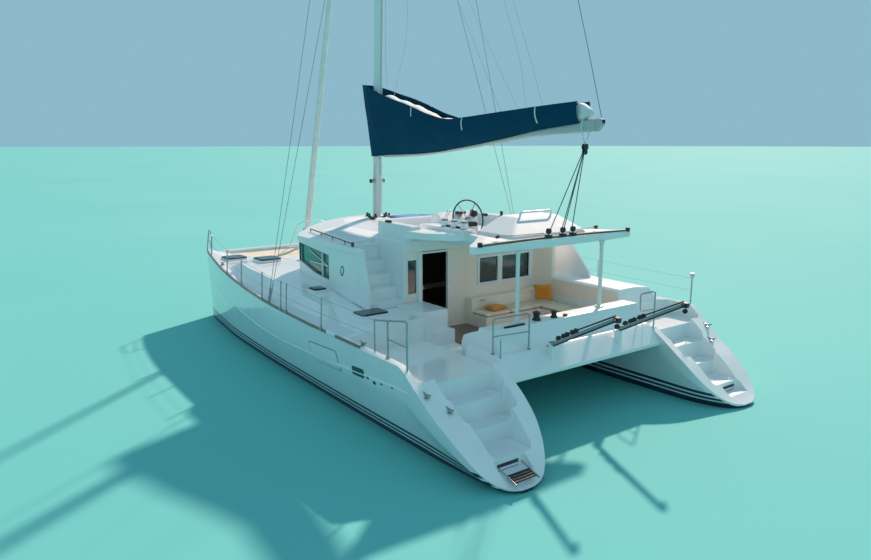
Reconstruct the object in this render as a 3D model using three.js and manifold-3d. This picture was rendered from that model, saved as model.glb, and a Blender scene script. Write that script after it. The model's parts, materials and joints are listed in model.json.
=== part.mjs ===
// A 13.6 metre cruising catamaran afloat, with her mainsail stowed in its bag on the boom.
// Millimetres. +X points forward, +Y to port and +Z up. The origin is on the centreline,
// amidships, at the waterline.
import * as THREE from 'three';
import { mergeVertices } from 'three/addons/utils/BufferGeometryUtils.js';
import Module from 'manifold-3d';

const wasm = await Module();
wasm.setup();

// Driving dimensions
const GAP = 0.3; // between pieces that touch
const CLEAR = 5; // between a moving piece and its seat
const NACELLE_Y = 2000; // half width of the bridge deck between the hulls
const WET_DECK_Z = 950; // underside of the bridge deck
const SOLE_Z = 1100; // cockpit and saloon floor
const AFT_DECK_Z = 1250; // deck at the head of the transom steps
const SIDE_DECK_Z = 1710; // side deck beside the saloon
const FOREDECK_Z = 2050;
const HULL_Y = 2900; // centreline of the port hull
const BEAM_X = -5400; // aft edge of the bridge deck
const CROSSBEAM_X = 6400;
const TRAMPOLINE_AFT_X = 4100;
const SALOON_Y = 2600; // outside of the saloon's side walls
const BULKHEAD_X = -1900; // aft face of the saloon bulkhead
const WALL = 55; // thickness of the deckhouse walls
const WALL_TOP_Z = 2800;
const ROOF_SIDE_Z = 2900; // roof at its side edge
const ROOF_CROWN_Z = 3120; // roof on the centreline
const HARDTOP_Z = 3125; // underside of the cockpit hardtop
const HARDTOP_EDGE_Z = 3245; // top of the hardtop at its side edge
const HARDTOP_CROWN_Z = 3275;
const HARDTOP_Y = 2090;
const TRAVELLER_X = -4500;
const MAST_X = 2080; // mast step
const MAST_RAKE = 0.0463; // aft lean for each unit of height
const MAST_TOP_Z = 20900;
const HOUNDS_Z = 18500;
const LOWERS_Z = 14500; // where the lower shrouds meet the mast
const GOOSENECK = new THREE.Vector3(1800, 0, 4790);
const BOOM_END = new THREE.Vector3(-5460, 0, 5330);
const CHAINPLATE = new THREE.Vector3(450, 3748, 1610);
const HELM = new THREE.Vector3(-2100, 285, 3430); // hub of the steering wheel
const HELM_TILT = 0.2; // lean of the steering wheel, radians
const RUDDER_X = -5750;
const LEG_X = -3800; // saildrive leg
const PROPELLER_Z = -900;
const FORESTAY_FOOT = new THREE.Vector3(6400, 0, 1960);
const PORT = 1;
const STARBOARD = -1;

const PAINT = {
  gelcoat: [0xf1f3f2, 0.35, 0.0],
  cream: [0xe9e2d2, 0.6, 0.0],
  steel: [0xc9cdd0, 0.2, 1.0],
  aluminium: [0xb9bdc0, 0.35, 1.0],
  black: [0x1d1f22, 0.5, 0.0],
  dark_glass: [0x16302d, 0.08, 0.0],
  navy_canvas: [0x0c3556, 0.9, 0.0],
  sailcloth: [0xe9e9e6, 0.8, 0.0],
  orange_cloth: [0xe0801c, 0.85, 0.0],
  blue_cloth: [0x2a7fc0, 0.85, 0.0],
  netting: [0xd9c9aa, 0.9, 0.0],
  teak: [0x7a4a3a, 0.6, 0.0],
  wood: [0x6d4426, 0.5, 0.0],
  bronze: [0x9a7b45, 0.35, 1.0],
  iron: [0x3f5560, 0.6, 0.4],
};

// Solids and shapes
function solid(geometry) {
  const bare = geometry.clone();
  bare.deleteAttribute('normal');
  bare.deleteAttribute('uv');
  const merged = mergeVertices(bare, 1e-3);
  const flat = merged.toNonIndexed().getAttribute('position');
  let volume = 0;
  const [a, b, c] = [new THREE.Vector3(), new THREE.Vector3(), new THREE.Vector3()];
  for (let i = 0; i < flat.count; i += 3) {
    a.fromBufferAttribute(flat, i);
    b.fromBufferAttribute(flat, i + 1);
    c.fromBufferAttribute(flat, i + 2);
    volume += a.dot(b.cross(c));
  }
  const index = Uint32Array.from(merged.index.array);
  if (volume < 0) {
    for (let i = 0; i < index.length; i += 3) [index[i], index[i + 1]] = [index[i + 1], index[i]];
  }
  const vertProperties = Float32Array.from(merged.getAttribute('position').array);
  return new wasm.Manifold(new wasm.Mesh({ numProp: 3, vertProperties, triVerts: index }));
}

function geometryOf(body) {
  const mesh = body.getMesh();
  const geometry = new THREE.BufferGeometry();
  geometry.setAttribute('position', new THREE.BufferAttribute(Float32Array.from(mesh.vertProperties), 3));
  geometry.setIndex(new THREE.BufferAttribute(Uint32Array.from(mesh.triVerts), 1));
  return geometry;
}

function join(...geometries) {
  return geometryOf(geometries.map(solid).reduce((sum, next) => sum.add(next)));
}

function cut(geometry, ...tools) {
  return geometryOf(tools.map(solid).reduce((rest, tool) => rest.subtract(tool), solid(geometry)));
}

function common(first, second) {
  return geometryOf(solid(first).intersect(solid(second)));
}

function block(x, y, z) {
  const geometry = new THREE.BoxGeometry(x[1] - x[0], y[1] - y[0], z[1] - z[0]);
  return geometry.translate((x[0] + x[1]) / 2, (y[0] + y[1]) / 2, (z[0] + z[1]) / 2);
}

// An outline of [u, v] points, pushed from one height to another: u, v are x, y along z
function prism(outline, from, to) {
  const shape = new THREE.Shape(outline.map(([u, v]) => new THREE.Vector2(u, v)));
  return new THREE.ExtrudeGeometry(shape, { depth: to - from, bevelEnabled: false }).translate(0, 0, from);
}

// u, v are x, z and the push is along y
function sidePrism(outline, from, to) {
  return prism(outline, -to, -from).rotateX(Math.PI / 2);
}

// u, v are y, z and the push is along x
function crossPrism(outline, from, to) {
  const turn = new THREE.Matrix4().set(0, 0, 1, 0, 1, 0, 0, 0, 0, 1, 0, 0, 0, 0, 0, 1);
  return prism(outline, from, to).applyMatrix4(turn);
}

// A skin over rings of points that all have the same count, closed by a fan at both ends
function loft(rings) {
  const count = rings[0].length;
  const positions = rings.flat().flatMap((point) => point.toArray());
  const index = [];
  for (let r = 0; r < rings.length - 1; r++) {
    for (let i = 0; i < count; i++) {
      const j = (i + 1) % count;
      const [a, b, c, d] = [r * count + i, r * count + j, (r + 1) * count + j, (r + 1) * count + i];
      index.push(a, b, c, a, c, d);
    }
  }
  [0, rings.length - 1].forEach((r) => {
    const centre = rings[r].reduce((sum, point) => sum.add(point), new THREE.Vector3()).divideScalar(count);
    const hub = positions.length / 3;
    positions.push(...centre.toArray());
    for (let i = 0; i < count; i++) {
      const j = (i + 1) % count;
      if (r === 0) index.push(hub, r * count + j, r * count + i);
      else index.push(hub, r * count + i, r * count + j);
    }
  });
  const geometry = new THREE.BufferGeometry();
  geometry.setAttribute('position', new THREE.Float32BufferAttribute(positions, 3));
  geometry.setIndex(index);
  return geometry;
}

function rod(from, to, radius, sides = 6, endRadius = radius) {
  const along = new THREE.Vector3().subVectors(to, from);
  const geometry = new THREE.CylinderGeometry(endRadius, radius, along.length(), sides);
  geometry.translate(0, along.length() / 2, 0);
  const turn = new THREE.Quaternion().setFromUnitVectors(new THREE.Vector3(0, 1, 0), along.normalize());
  return geometry.applyQuaternion(turn).translate(from.x, from.y, from.z);
}

// Rods along a path, with a ball at each corner so that they join as one body
function bentRod(points, radius, sides = 6) {
  const pieces = [];
  for (let i = 0; i < points.length - 1; i++) pieces.push(rod(points[i], points[i + 1], radius, sides));
  for (let i = 1; i < points.length - 1; i++) {
    pieces.push(new THREE.SphereGeometry(radius * 1.06, sides, 4).translate(...points[i].toArray()));
  }
  return join(...pieces);
}

function at(x, y, z) {
  return new THREE.Vector3(x, y, z);
}

function mirrored(geometry) {
  return geometryOf(solid(geometry.clone().scale(1, -1, 1)));
}

function onSide(geometry, side) {
  return side === PORT ? geometry : mirrored(geometry);
}

function sideName(side) {
  return side === PORT ? 'port' : 'starboard';
}

const boat = new THREE.Group();
boat.name = 'sailing_catamaran';

function add(name, geometry, paint) {
  const [color, roughness, metalness] = PAINT[paint];
  const material = new THREE.MeshStandardMaterial({ color, roughness, metalness });
  const mesh = new THREE.Mesh(geometryOf(solid(geometry)), material);
  mesh.name = name;
  boat.add(mesh);
}

// Hulls
// Columns: x at deck, x at keel, sheer y, z, foot of trunk y, z, top of trunk y, z,
// inner deck y, z, waterline outer y, inner y, keel z
const HULL_STATIONS = [
  [6840, 6600, 2975, 1940, 2960, 1942, 2945, 1943, 2905, 1940, 2955, 2925, -60],
  [6200, 6100, 3150, 1925, 3080, 1930, 3000, 1935, 2720, 1930, 3060, 2810, -340],
  [4700, 4700, 3440, 1850, 3290, 1870, 3120, 1885, 2200, 1900, 3210, 2560, -540],
  [4150, 4150, 3530, 1815, 3330, 1835, 3150, 1900, NACELLE_Y, 1960, 3270, 2420, -590],
  [3300, 3300, 3640, 1760, 3440, 1780, 3230, 2010, NACELLE_Y, FOREDECK_Z, 3320, 2290, -630],
  [2300, 2300, 3730, 1700, 3560, 1715, 3340, 2010, NACELLE_Y, FOREDECK_Z, 3350, 2200, -650],
  [1200, 1200, 3810, 1645, 3560, 1660, 3330, 1960, NACELLE_Y, FOREDECK_Z, 3370, 2150, -660],
  [0, 0, 3850, 1600, 3500, 1625, 3280, 1850, NACELLE_Y, 1960, 3380, 2130, -660],
  [-1000, -1000, 3850, 1570, 3450, 1600, 3200, 1740, NACELLE_Y, 1800, 3380, 2130, -660],
  [-1800, -1800, 3850, 1555, 3400, 1600, 3100, 1690, NACELLE_Y, SIDE_DECK_Z, 3380, 2130, -660],
  [-3000, -3000, 3850, 1555, 3400, 1600, 3000, 1690, NACELLE_Y, SIDE_DECK_Z, 3375, 2140, -600],
  [-4760, -4760, 3830, 1555, 3600, 1560, 3300, 1565, NACELLE_Y, 1560, 3360, 2170, -420],
  [-5240, -5240, 3790, 1235, 3620, 1245, 3300, 1270, NACELLE_Y, 1310, 3350, 2190, -350],
  [-5620, -5620, 3745, 930, 3560, 940, 3250, 960, NACELLE_Y, 1060, 3330, 2210, -290],
  [-6000, -6000, 3690, 690, 3500, 695, 3200, 705, 2035, 770, 3300, 2250, -220],
  [-6300, -6300, 3610, 460, 3430, 460, 3150, 462, 2130, 490, 3260, 2330, -160],
  [-6500, -6500, 3510, 290, 3360, 290, 3100, 290, 2255, 305, 3200, 2420, -120],
  [-6650, -6650, 3385, 175, 3260, 175, 3060, 175, 2395, 180, 3130, 2520, -90],
  [-6760, -6760, 3220, 105, 3130, 105, 3000, 105, 2550, 108, 3050, 2640, -65],
  [-6830, -6830, 3030, 72, 2990, 72, 2940, 72, 2770, 72, 2970, 2820, -50],
];
const KNUCKLE = 0.66; // height of the topside knuckle in parts of the sheer
const KEEL_FLAT = 0.16; // half width of the flat bottom in parts of the waterline beam

function hullRing([xDeck, xKeel, sheerY, sheerZ, footY, footZ, topY, topZ, innerY, innerZ, outY, inY, keelZ]) {
  const middle = (outY + inY) / 2;
  const half = (outY - inY) / 2;
  const knuckleZ = sheerZ * KNUCKLE;
  const inKnuckleZ = Math.min(WET_DECK_Z, innerZ * 0.75);
  const points = [
    [sheerY, sheerZ],
    [outY + (sheerY - outY) * 0.88, knuckleZ],
    [outY + (sheerY - outY) * 0.4, knuckleZ * 0.45],
    [outY, 0],
    [middle + half * 0.86, keelZ * 0.45],
    [middle + half * 0.56, keelZ * 0.83],
    [middle + half * KEEL_FLAT, keelZ],
    [middle - half * KEEL_FLAT, keelZ],
    [middle - half * 0.56, keelZ * 0.83],
    [middle - half * 0.86, keelZ * 0.45],
    [inY, 0],
    [inY + (innerY - inY) * 0.55, inKnuckleZ * 0.5],
    [innerY, inKnuckleZ],
    [innerY, innerZ],
    [topY, topZ],
    [footY, footZ],
  ];
  return points.map(([y, z]) => {
    const rise = Math.min(1, Math.max(0, (z - keelZ) / (sheerZ - keelZ)));
    return at(xKeel + (xDeck - xKeel) * rise, y, z);
  });
}

// Columns: forward edge x, aft edge x, inner y, outer y, tread z
const TRANSOM_STEPS = [
  [-5135, -5500, 2190, 3340, 950],
  [-5500, -5850, 2230, 3270, 640],
  [-5850, -6400, 2400, 3190, 370],
  [-6400, -6680, 2600, 3200, 190],
];

// Columns: name, centre x, centre y, length x, width y, top of the frame z
const HATCHES = [
  ['forepeak_hatch', 4950, 2830, 560, 560, 1930],
  ['forward_cabin_hatch', 3300, 2560, 560, 560, 2090],
  ['midship_hatch', -180, 2890, 340, 300, 1915],
  ['aft_cabin_hatch', -2165, 2745, 430, 590, 1750],
];
const HATCH_FRAME = 55;
const HATCH_LID = 28;
const HATCH_DEPTH = 160;

function hatchesOn(side) {
  return side === PORT ? HATCHES : HATCHES.slice(0, 3); // the raised coaming takes the fourth one's place
}

function hatchFrame([, x, y, length, width, top]) {
  return block([x - length / 2, x + length / 2], [y - width / 2, y + width / 2], [top - 400, top]);
}

function hatchPocket([, x, y, length, width, top]) {
  const [halfX, halfY] = [length / 2 - HATCH_FRAME, width / 2 - HATCH_FRAME];
  return block([x - halfX, x + halfX], [y - halfY, y + halfY], [top - HATCH_DEPTH, top + 400]);
}

// Stub keel. Columns: x leading edge, x trailing edge, half thickness, z
const KEEL_SECTIONS = [
  [1150, -1650, 150, -600],
  [1080, -1500, 140, -900],
  [980, -1400, 120, -1300],
];

function foilRing([lead, trail, half, z], y) {
  const chord = lead - trail;
  const shape = [[0, 0], [0.1, 0.62], [0.3, 1], [0.6, 0.72], [1, 0.04]];
  const upper = shape.map(([s, t]) => at(lead - s * chord, y + t * half, z));
  const lower = shape.slice(1).reverse().map(([s, t]) => at(lead - s * chord, y - t * half, z));
  return [...upper, ...lower];
}

const ENGINE_BAY = { x: [-4700, -3500], y: [2640, 3160], z: [-150, 750] };
const LEG_CHORD = 340;
const LEG_HALF = 60;
const RUDDER_STOCK = 40;
const HULL_CLEAR = 12; // round the leg where it leaves the hull

function hull(side) {
  const shell = loft(HULL_STATIONS.map(hullRing));
  const keel = loft(KEEL_SECTIONS.map((section) => foilRing(section, 2755)));
  const deckCutX = side === PORT ? -2950 : -4300;
  const tools = [
    block([-5136, deckCutX], [NACELLE_Y - 400, 3690], [AFT_DECK_Z, 2600]),
    block([ENGINE_BAY.x[0], ENGINE_BAY.x[1]], ENGINE_BAY.y, ENGINE_BAY.z),
    block([LEG_X - LEG_CHORD / 2 - HULL_CLEAR, LEG_X + LEG_CHORD / 2 + HULL_CLEAR],
      [HULL_Y - LEG_HALF - HULL_CLEAR, HULL_Y + LEG_HALF + HULL_CLEAR], [-1000, 0]),
    rod(at(RUDDER_X, HULL_Y, -700), at(RUDDER_X, HULL_Y, 202), RUDDER_STOCK + CLEAR + 2, 16),
    ...TRANSOM_STEPS.map(([fore, aft, inner, outer, z]) => block([aft, fore], [inner, outer], [z, 2600])),
    ...hatchesOn(side).map(hatchPocket),
  ];
  const body = join(shell, keel, ...hatchesOn(side).map(hatchFrame));
  return onSide(cut(body, ...tools), side);
}

function drive(side) {
  const engine = block([-4600, -3600], [2700, 3100], [-60, 640]);
  const leg = loft([
    foilRing([LEG_X + LEG_CHORD / 2, LEG_X - LEG_CHORD / 2, LEG_HALF, -60], HULL_Y),
    foilRing([LEG_X + LEG_CHORD / 2, LEG_X - LEG_CHORD / 2, LEG_HALF, PROPELLER_Z], HULL_Y),
  ]);
  const gearcase = rod(at(LEG_X + 230, HULL_Y, PROPELLER_Z), at(LEG_X - 250, HULL_Y, PROPELLER_Z), 50, 12, 78);
  return onSide(join(engine, leg.translate(0, 0, 1), gearcase), side);
}

const PROPELLER_X = LEG_X - 250 - 8;
const BLADES = 3;
function propeller(side) {
  const pieces = [rod(at(PROPELLER_X, HULL_Y, PROPELLER_Z), at(PROPELLER_X - 120, HULL_Y, PROPELLER_Z), 70, 16, 45)];
  for (let i = 0; i < BLADES; i++) {
    const blade = new THREE.BoxGeometry(14, 110, 190).rotateZ(0.6).translate(0, 0, 135);
    pieces.push(blade.rotateX((i * 2 * Math.PI) / BLADES).translate(PROPELLER_X - 60, HULL_Y, PROPELLER_Z));
  }
  return onSide(join(...pieces), side);
}

function rudder(side) {
  const blade = loft([
    foilRing([RUDDER_X + 230, RUDDER_X - 420, 45, -310], HULL_Y),
    foilRing([RUDDER_X + 160, RUDDER_X - 330, 30, -1180], HULL_Y),
  ]);
  const stock = rod(at(RUDDER_X, HULL_Y, -500), at(RUDDER_X, HULL_Y, 195), RUDDER_STOCK, 16);
  return onSide(join(blade, stock), side);
}

function hatchLid([, x, y, length, width, top], side) {
  const z = top + CLEAR;
  return onSide(block([x - length / 2, x + length / 2], [y - width / 2, y + width / 2], [z, z + HATCH_LID]), side);
}

// Folded forward over the stern platform, hinged behind the transom
const LADDER = { x: -6850, z: 175, y: [2700, 3150], length: 390, rise: 115 };
function swimLadder() {
  const { x, z, y, length, rise } = LADDER;
  const rails = y.map((side) => rod(at(x, side, z), at(x + length, side, z + rise), 15));
  const treads = [0.16, 0.28, 0.40, 0.52].map((part) =>
    block([-19, 19], y, [-12, 12]).translate(x + part * length, 0, z + part * rise));
  return join(...rails, ...treads);
}

// Bridge deck, cockpit and foredeck
const FOREDECK_X = 2900;
const SEAT_Z = 1350;
const LOCKER = { x: [-2800, BULKHEAD_X - GAP], y: 1320, z: 1760 }; // between the cockpit and the port side deck
function bridgedeck() {
  const y = NACELLE_Y - GAP;
  const slab = block([-4200, FOREDECK_X + 100], [-y, y], [WET_DECK_Z, SOLE_Z]);
  const nose = sidePrism([[FOREDECK_X, WET_DECK_Z], [3700, WET_DECK_Z], [TRAMPOLINE_AFT_X, 1250],
    [TRAMPOLINE_AFT_X, 1960], [3300, FOREDECK_Z], [FOREDECK_X, FOREDECK_Z]], -y, y);
  const locker = block(LOCKER.x, [LOCKER.y, y], [SOLE_Z - 50, LOCKER.z]);
  const step = block([LOCKER.x[0] - 230, LOCKER.x[0] + 10], [LOCKER.y, y], [SOLE_Z - 50, 1400]);
  return join(slab, nose, locker, step);
}

const COAMING_Z = 1800;
function aftCoaming() {
  const y = NACELLE_Y - GAP;
  const x = -4200 - GAP;
  const beam = sidePrism([[x, WET_DECK_Z], [-4900, WET_DECK_Z], [BEAM_X, 1050], [BEAM_X, 1110], [-5140, 1395],
    [-5070, 1440], [x, 1440]], -y, y);
  const coaming = sidePrism([[x, 1400], [-5020, 1400], [-4960, 1480], [-4780, COAMING_Z], [-4420, COAMING_Z],
    [-4330, 1440], [x, 1440]], -y, 1880);
  const seat = block([-4300, -3700], [-1390, 1460], [SOLE_Z + GAP, SEAT_Z]);
  const wing = sidePrism([[-4600, 1300], [-4600, 1800], [-4200, 1665], [-3990, 1575], [-3930, 1440],
    [-3930, SOLE_Z + GAP], [-4190, SOLE_Z + GAP], [-4190, 1300]], 1440, 1880);
  return join(beam, coaming, seat, wing);
}

function starboardCoaming() {
  const outline = [[-3300, 1580], [-3230, 1700], [-3000, 1930], [-2500, 1985], [-2060, 1980], [-2005, 1940],
    [-2005, 1580]];
  const wing = sidePrism([[BULKHEAD_X - GAP, 1900], [-2980, 1900], [-2980, 2080], [-2760, 2330], [-2490, 2600],
    [-2300, 2780], [BULKHEAD_X - GAP, 2780]], -2620, -2560);
  const shelf = crossPrism(outline, -4290, BULKHEAD_X - GAP);
  const screenPlan = [[BULKHEAD_X - GAP, -1865], [BULKHEAD_X - GAP, -1800], [-2340, -2010], [-2340, -2075]];
  const screen = prism(screenPlan, 1700, HARDTOP_Z - 2 * GAP);
  return cut(join(shelf, wing, screen), hull(STARBOARD).translate(0, 0, GAP));
}

function settee() {
  const forward = block([-2620, BULKHEAD_X - GAP], [-1990, 180], [SOLE_Z + GAP, SEAT_Z]);
  const shelf = block([-2120, BULKHEAD_X - GAP], [-1990, 180], [SEAT_Z - 10, 1690]);
  const side = block([-3695, -2600], [-1990, -1400], [SOLE_Z + GAP, SEAT_Z]);
  return join(forward, shelf, side);
}

const CUSHION_TOP = SEAT_Z + 95;
function flatCushion() {
  return block([-2590, -2230], [-470, -20], [CUSHION_TOP + GAP, CUSHION_TOP + 110]);
}

function uprightCushion() {
  return block([-225, 225], [-60, 60], [0, 400]).rotateZ(0.5).rotateX(-0.2).translate(-2470, -1660, CUSHION_TOP + 36);
}

function setteeCushions() {
  const forward = block([-2600, -2130], [-1980, 160], [SEAT_Z + GAP, CUSHION_TOP]);
  const side = block([-3680, -2590], [-1980, -1410], [SEAT_Z + GAP, CUSHION_TOP]);
  return join(forward, side);
}

// Deckhouse. Half outline of the outside of its walls in plan, columns x, y
const SALOON_HALF = [
  [BULKHEAD_X, SALOON_Y],
  [1300, SALOON_Y],
  [1600, 2400],
  [2080, 1850],
  [2450, 1150],
  [2620, 400],
];
const SIDE_WINDOW = [[-170, 2080], [480, 2140], [1280, 2330], [1280, 2745], [-170, 2620]]; // x, z
const FRONT_WINDOW_X = 1500; // the front windows start forward of this
const FRONT_WINDOW_Z = [2200, 2690];

function inset(outline, distance) {
  return outline.map(([x, y], i) => {
    if (i === 0) return [x + distance, y - distance];
    const previous = outline[i - 1];
    const next = outline[Math.min(i + 1, outline.length - 1)];
    const angle = Math.atan2(next[1] - previous[1], next[0] - previous[0]);
    return [x + Math.sin(angle) * distance, y - Math.cos(angle) * distance];
  });
}

function wholeOutline(half) {
  return [...half, ...half.slice().reverse().map(([x, y]) => [x, -y])];
}

function deckhouseBand(outside, inside, from, to) {
  const y = SALOON_Y - WALL;
  const aftOpening = block([BULKHEAD_X - 500, BULKHEAD_X + WALL + GAP], [-y, y], [0, 4000]);
  const band = cut(prism(wholeOutline(outside), from, to), prism(wholeOutline(inside), from - 10, to + 10));
  return cut(band, aftOpening);
}

// The port wall and the roof over it end on a slope beside the stairs
function wallEnd() {
  return sidePrism([[-1910, 1840], [-1620, 2900], [-1620, 3100], [-1910, 3100]], STAIR_WELL.y[1] - 5, 2700);
}

const STAIR_WELL = { x: [BULKHEAD_X - 10, -700], y: [1790, 2545] };
const INNER_WALL_Y = STAIR_WELL.y[0] - WALL;

function stairWellTool(side) {
  return onSide(block([-2600, STAIR_WELL.x[1]], [STAIR_WELL.y[0] - 1 - GAP, STAIR_WELL.y[1]], [1000, 4000]), side);
}

function saloonWalls() {
  const lowest = 1500;
  const walls = deckhouseBand(SALOON_HALF, inset(SALOON_HALF, WALL), lowest, WALL_TOP_Z);
  const sides = [PORT, STARBOARD].map((side) =>
    onSide(sidePrism(SIDE_WINDOW, SALOON_Y - 300, SALOON_Y + 300), side));
  const front = block([FRONT_WINDOW_X, 4000], [-2300, 2300], FRONT_WINDOW_Z);
  const posts = [-1640, -560, 560, 1640].map((y) =>
    block([FRONT_WINDOW_X, 4000], [y - 50, y + 50], [FRONT_WINDOW_Z[0] - 10, FRONT_WINDOW_Z[1] + 10]));
  const hulls = [PORT, STARBOARD].map((side) => onSide(loft(HULL_STATIONS.map(hullRing)).translate(0, GAP, GAP), side));
  const floor = block([BULKHEAD_X, 4200], [-2100, 2100], [0, FOREDECK_Z + GAP]);
  return cut(walls, ...sides, cut(front, ...posts), ...hulls, floor, wallEnd());
}

function saloonWindows() {
  const outside = inset(SALOON_HALF, WALL + GAP);
  const inside = inset(SALOON_HALF, WALL + GAP + 10);
  const band = deckhouseBand(outside, inside, 2050, 2770);
  return cut(band, block([-3000, -230], [-4000, 4000], [0, 4000]));
}

const DOOR = { y: [680, 1340], z: [SOLE_Z + 40, 2800] };
const BULKHEAD_WINDOW = { y: [-1700, -180], z: [1950, 2540] };
const SIDE_PANE = { y: [1480, 1700], z: [1940, 2640] };

function bulkhead() {
  const x = [BULKHEAD_X, BULKHEAD_X + WALL];
  const y = NACELLE_Y - GAP;
  const low = block(x, [-y, y], [SOLE_Z + GAP, 2000]);
  const upper = block(x, [-INNER_WALL_Y, INNER_WALL_Y], [1900, WALL_TOP_Z]);
  const through = [x[0] - 50, x[1] + 50];
  const tools = [
    block(through, DOOR.y, [DOOR.z[0], DOOR.z[1]]),
    block(through, BULKHEAD_WINDOW.y, BULKHEAD_WINDOW.z),
    block(through, SIDE_PANE.y, SIDE_PANE.z),
    ...[PORT, STARBOARD].map((side) => onSide(block(through, [INNER_WALL_Y, 3000], [SIDE_DECK_Z, 4000]), side)),
  ];
  return cut(join(low, upper), ...tools);
}

function bulkheadWindow() {
  const x = [BULKHEAD_X + 20, BULKHEAD_X + 30];
  const [y, z] = [BULKHEAD_WINDOW.y, BULKHEAD_WINDOW.z];
  return block(x, [y[0] + GAP, y[1] - GAP], [z[0] + GAP, z[1] - GAP]);
}

const DOOR_TRAVEL = 650;
function saloonDoor() {
  const x = [BULKHEAD_X + WALL + 8, BULKHEAD_X + WALL + 44];
  return block(x, [DOOR.y[0] - DOOR_TRAVEL - 10, DOOR.y[0] - 10], [SOLE_Z + CLEAR, 2760]);
}

const STAIR_RISE = 240;
const STAIR_GOING = 240;
const STAIRS = 5;
const FIRST_TREAD = 130;
function stairs(side) {
  const outline = [[STAIR_WELL.x[1] - GAP, SIDE_DECK_Z + 3], [BULKHEAD_X, SIDE_DECK_Z + 3]];
  for (let i = 0; i < STAIRS; i++) {
    const x = BULKHEAD_X + i * STAIR_GOING;
    const z = i === STAIRS - 1 ? 2910 : SIDE_DECK_Z + FIRST_TREAD + i * STAIR_RISE;
    outline.push([x, z], [i === STAIRS - 1 ? STAIR_WELL.x[1] - GAP : x + STAIR_GOING, z]);
  }
  const flight = sidePrism(outline, STAIR_WELL.y[0] - 1, STAIR_WELL.y[1] - GAP);
  const wall = block([BULKHEAD_X, STAIR_WELL.x[1] - GAP], [INNER_WALL_Y + GAP, STAIR_WELL.y[0]],
    [SIDE_DECK_Z + 3, WALL_TOP_Z]);
  const deck = loft(HULL_STATIONS.map(hullRing)).translate(0, 0, GAP);
  return onSide(cut(join(flight, wall), deck), side);
}

// Roof and flybridge
function camberedBand(from, to, sideZ, crownZ, halfY) {
  const outline = [[-halfY, from], [halfY, from]];
  const steps = 10;
  for (let i = 0; i <= steps; i++) {
    const y = halfY * (1 - (2 * i) / steps);
    outline.push([y, sideZ + (crownZ - sideZ) * (1 - (y / halfY) ** 2)]);
  }
  return crossPrism(outline, to[0], to[1]);
}

const ROOF_HALF = [
  [BULKHEAD_X, SALOON_Y + 30],
  [1310, SALOON_Y + 30],
  [1620, 2425],
  [2110, 1870],
  [2490, 1165],
  [2670, 410],
];

function saloonRoof() {
  const blank = camberedBand(WALL_TOP_Z + GAP, [BULKHEAD_X, 3000], ROOF_SIDE_Z, ROOF_CROWN_Z, SALOON_Y + 30);
  const shaped = common(blank, prism(wholeOutline(ROOF_HALF), WALL_TOP_Z - 50, 3400));
  const coaming = cut(
    prism([[-1890, -1600], [-600, -1600], [-200, -1150], [-200, 1150], [-600, 1600], [-1890, 1600]], 2950, 3330),
    block([-2000, -450], [-1350, 1350], [2900, 3500]));
  return cut(join(shaped, coaming), stairWellTool(PORT), stairWellTool(STARBOARD), wallEnd());
}

const HARDTOP_HALF = [
  [BULKHEAD_X - GAP, 1770],
  [-2500, 1640],
  [-2850, 1360],
  [-3100, 1080],
  [-3500, 1170],
  [-3900, 1560],
  [-4240, 1960],
  [-4400, HARDTOP_Y],
  [-4480, 2050],
  [-4560, 1200],
  [-4580, 400],
];
const FOOTWELL = { x: [-3050, -1800], y: [-480, 880], z: 3000 };

function hardtop() {
  const blank = camberedBand(HARDTOP_Z, [-4600, BULKHEAD_X - GAP], HARDTOP_EDGE_Z, HARDTOP_CROWN_Z, HARDTOP_Y);
  const shaped = common(blank, prism(wholeOutline(HARDTOP_HALF), HARDTOP_Z - 50, 3500));
  const pan = block([FOOTWELL.x[0] - 40, BULKHEAD_X - GAP], [FOOTWELL.y[0] - 40, FOOTWELL.y[1] + 40], [FOOTWELL.z - 36, 3200]);
  return cut(join(shaped, pan), block(FOOTWELL.x, FOOTWELL.y, [FOOTWELL.z, 3600]));
}

function onRoof(geometry) {
  return cut(geometry, saloonRoof().translate(0, 0, GAP), hardtop().translate(0, 0, GAP));
}

const HELM_AXIS = at(-Math.cos(HELM_TILT), 0, Math.sin(HELM_TILT)); // towards the person at the wheel
const WINCH_Z = 3340;
const WINCHES = [-2920, -2600, -2280];
const HUB = { aft: 22, forward: 60, radius: 50 };
function helmConsole() {
  const cabinet = onRoof(
    sidePrism([[-1350, 3000], [-1800, 3000], [-1760, 3380], [-1560, 3540], [-1350, 3500]], -250, 700));
  const column = rod(HELM.clone().addScaledVector(HELM_AXIS, -HUB.forward - CLEAR),
    HELM.clone().addScaledVector(HELM_AXIS, -420), 44, 12);
  const plinth = onRoof(join(block([-3080, -1880], [FOOTWELL.y[1] + 10, 1180], [3150, WINCH_Z]),
    block([-1899, -1600], [FOOTWELL.y[1] + 10, 1180], [3000, WINCH_Z]),
    block([-1790, -1600], [600, 1180], [3000, WINCH_Z])));
  const winches = WINCHES.map((x) => rod(at(x, 1035, WINCH_Z - 10), at(x, 1035, WINCH_Z + 170), 82, 14, 62));
  return join(cabinet, column, plinth, ...winches);
}

function helmSeat() {
  const along = sidePrism([[-4250, 3150], [-4250, 3315], [-3660, 3600], [-3150, 3600], [-3150, 3150]], -1010, 950);
  const across = crossPrism([[950, 3150], [950, 3315], [300, 3600], [-780, 3600], [-1010, 3330], [-1010, 3150]], -4250, -3150);
  const base = common(along, across);
  const back = bentRod([at(-3670, 270, 3510), at(-3700, 270, 3690), at(-3700, -560, 3690), at(-3670, -560, 3510)], 24);
  const pad = block([-3712, -3688], [-540, 250], [3560, 3700]);
  return join(onRoof(base), back, pad);
}

function sunpad() {
  return onRoof(block([600, 1480], [-1640, 90], [2900, 3215]));
}

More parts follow.
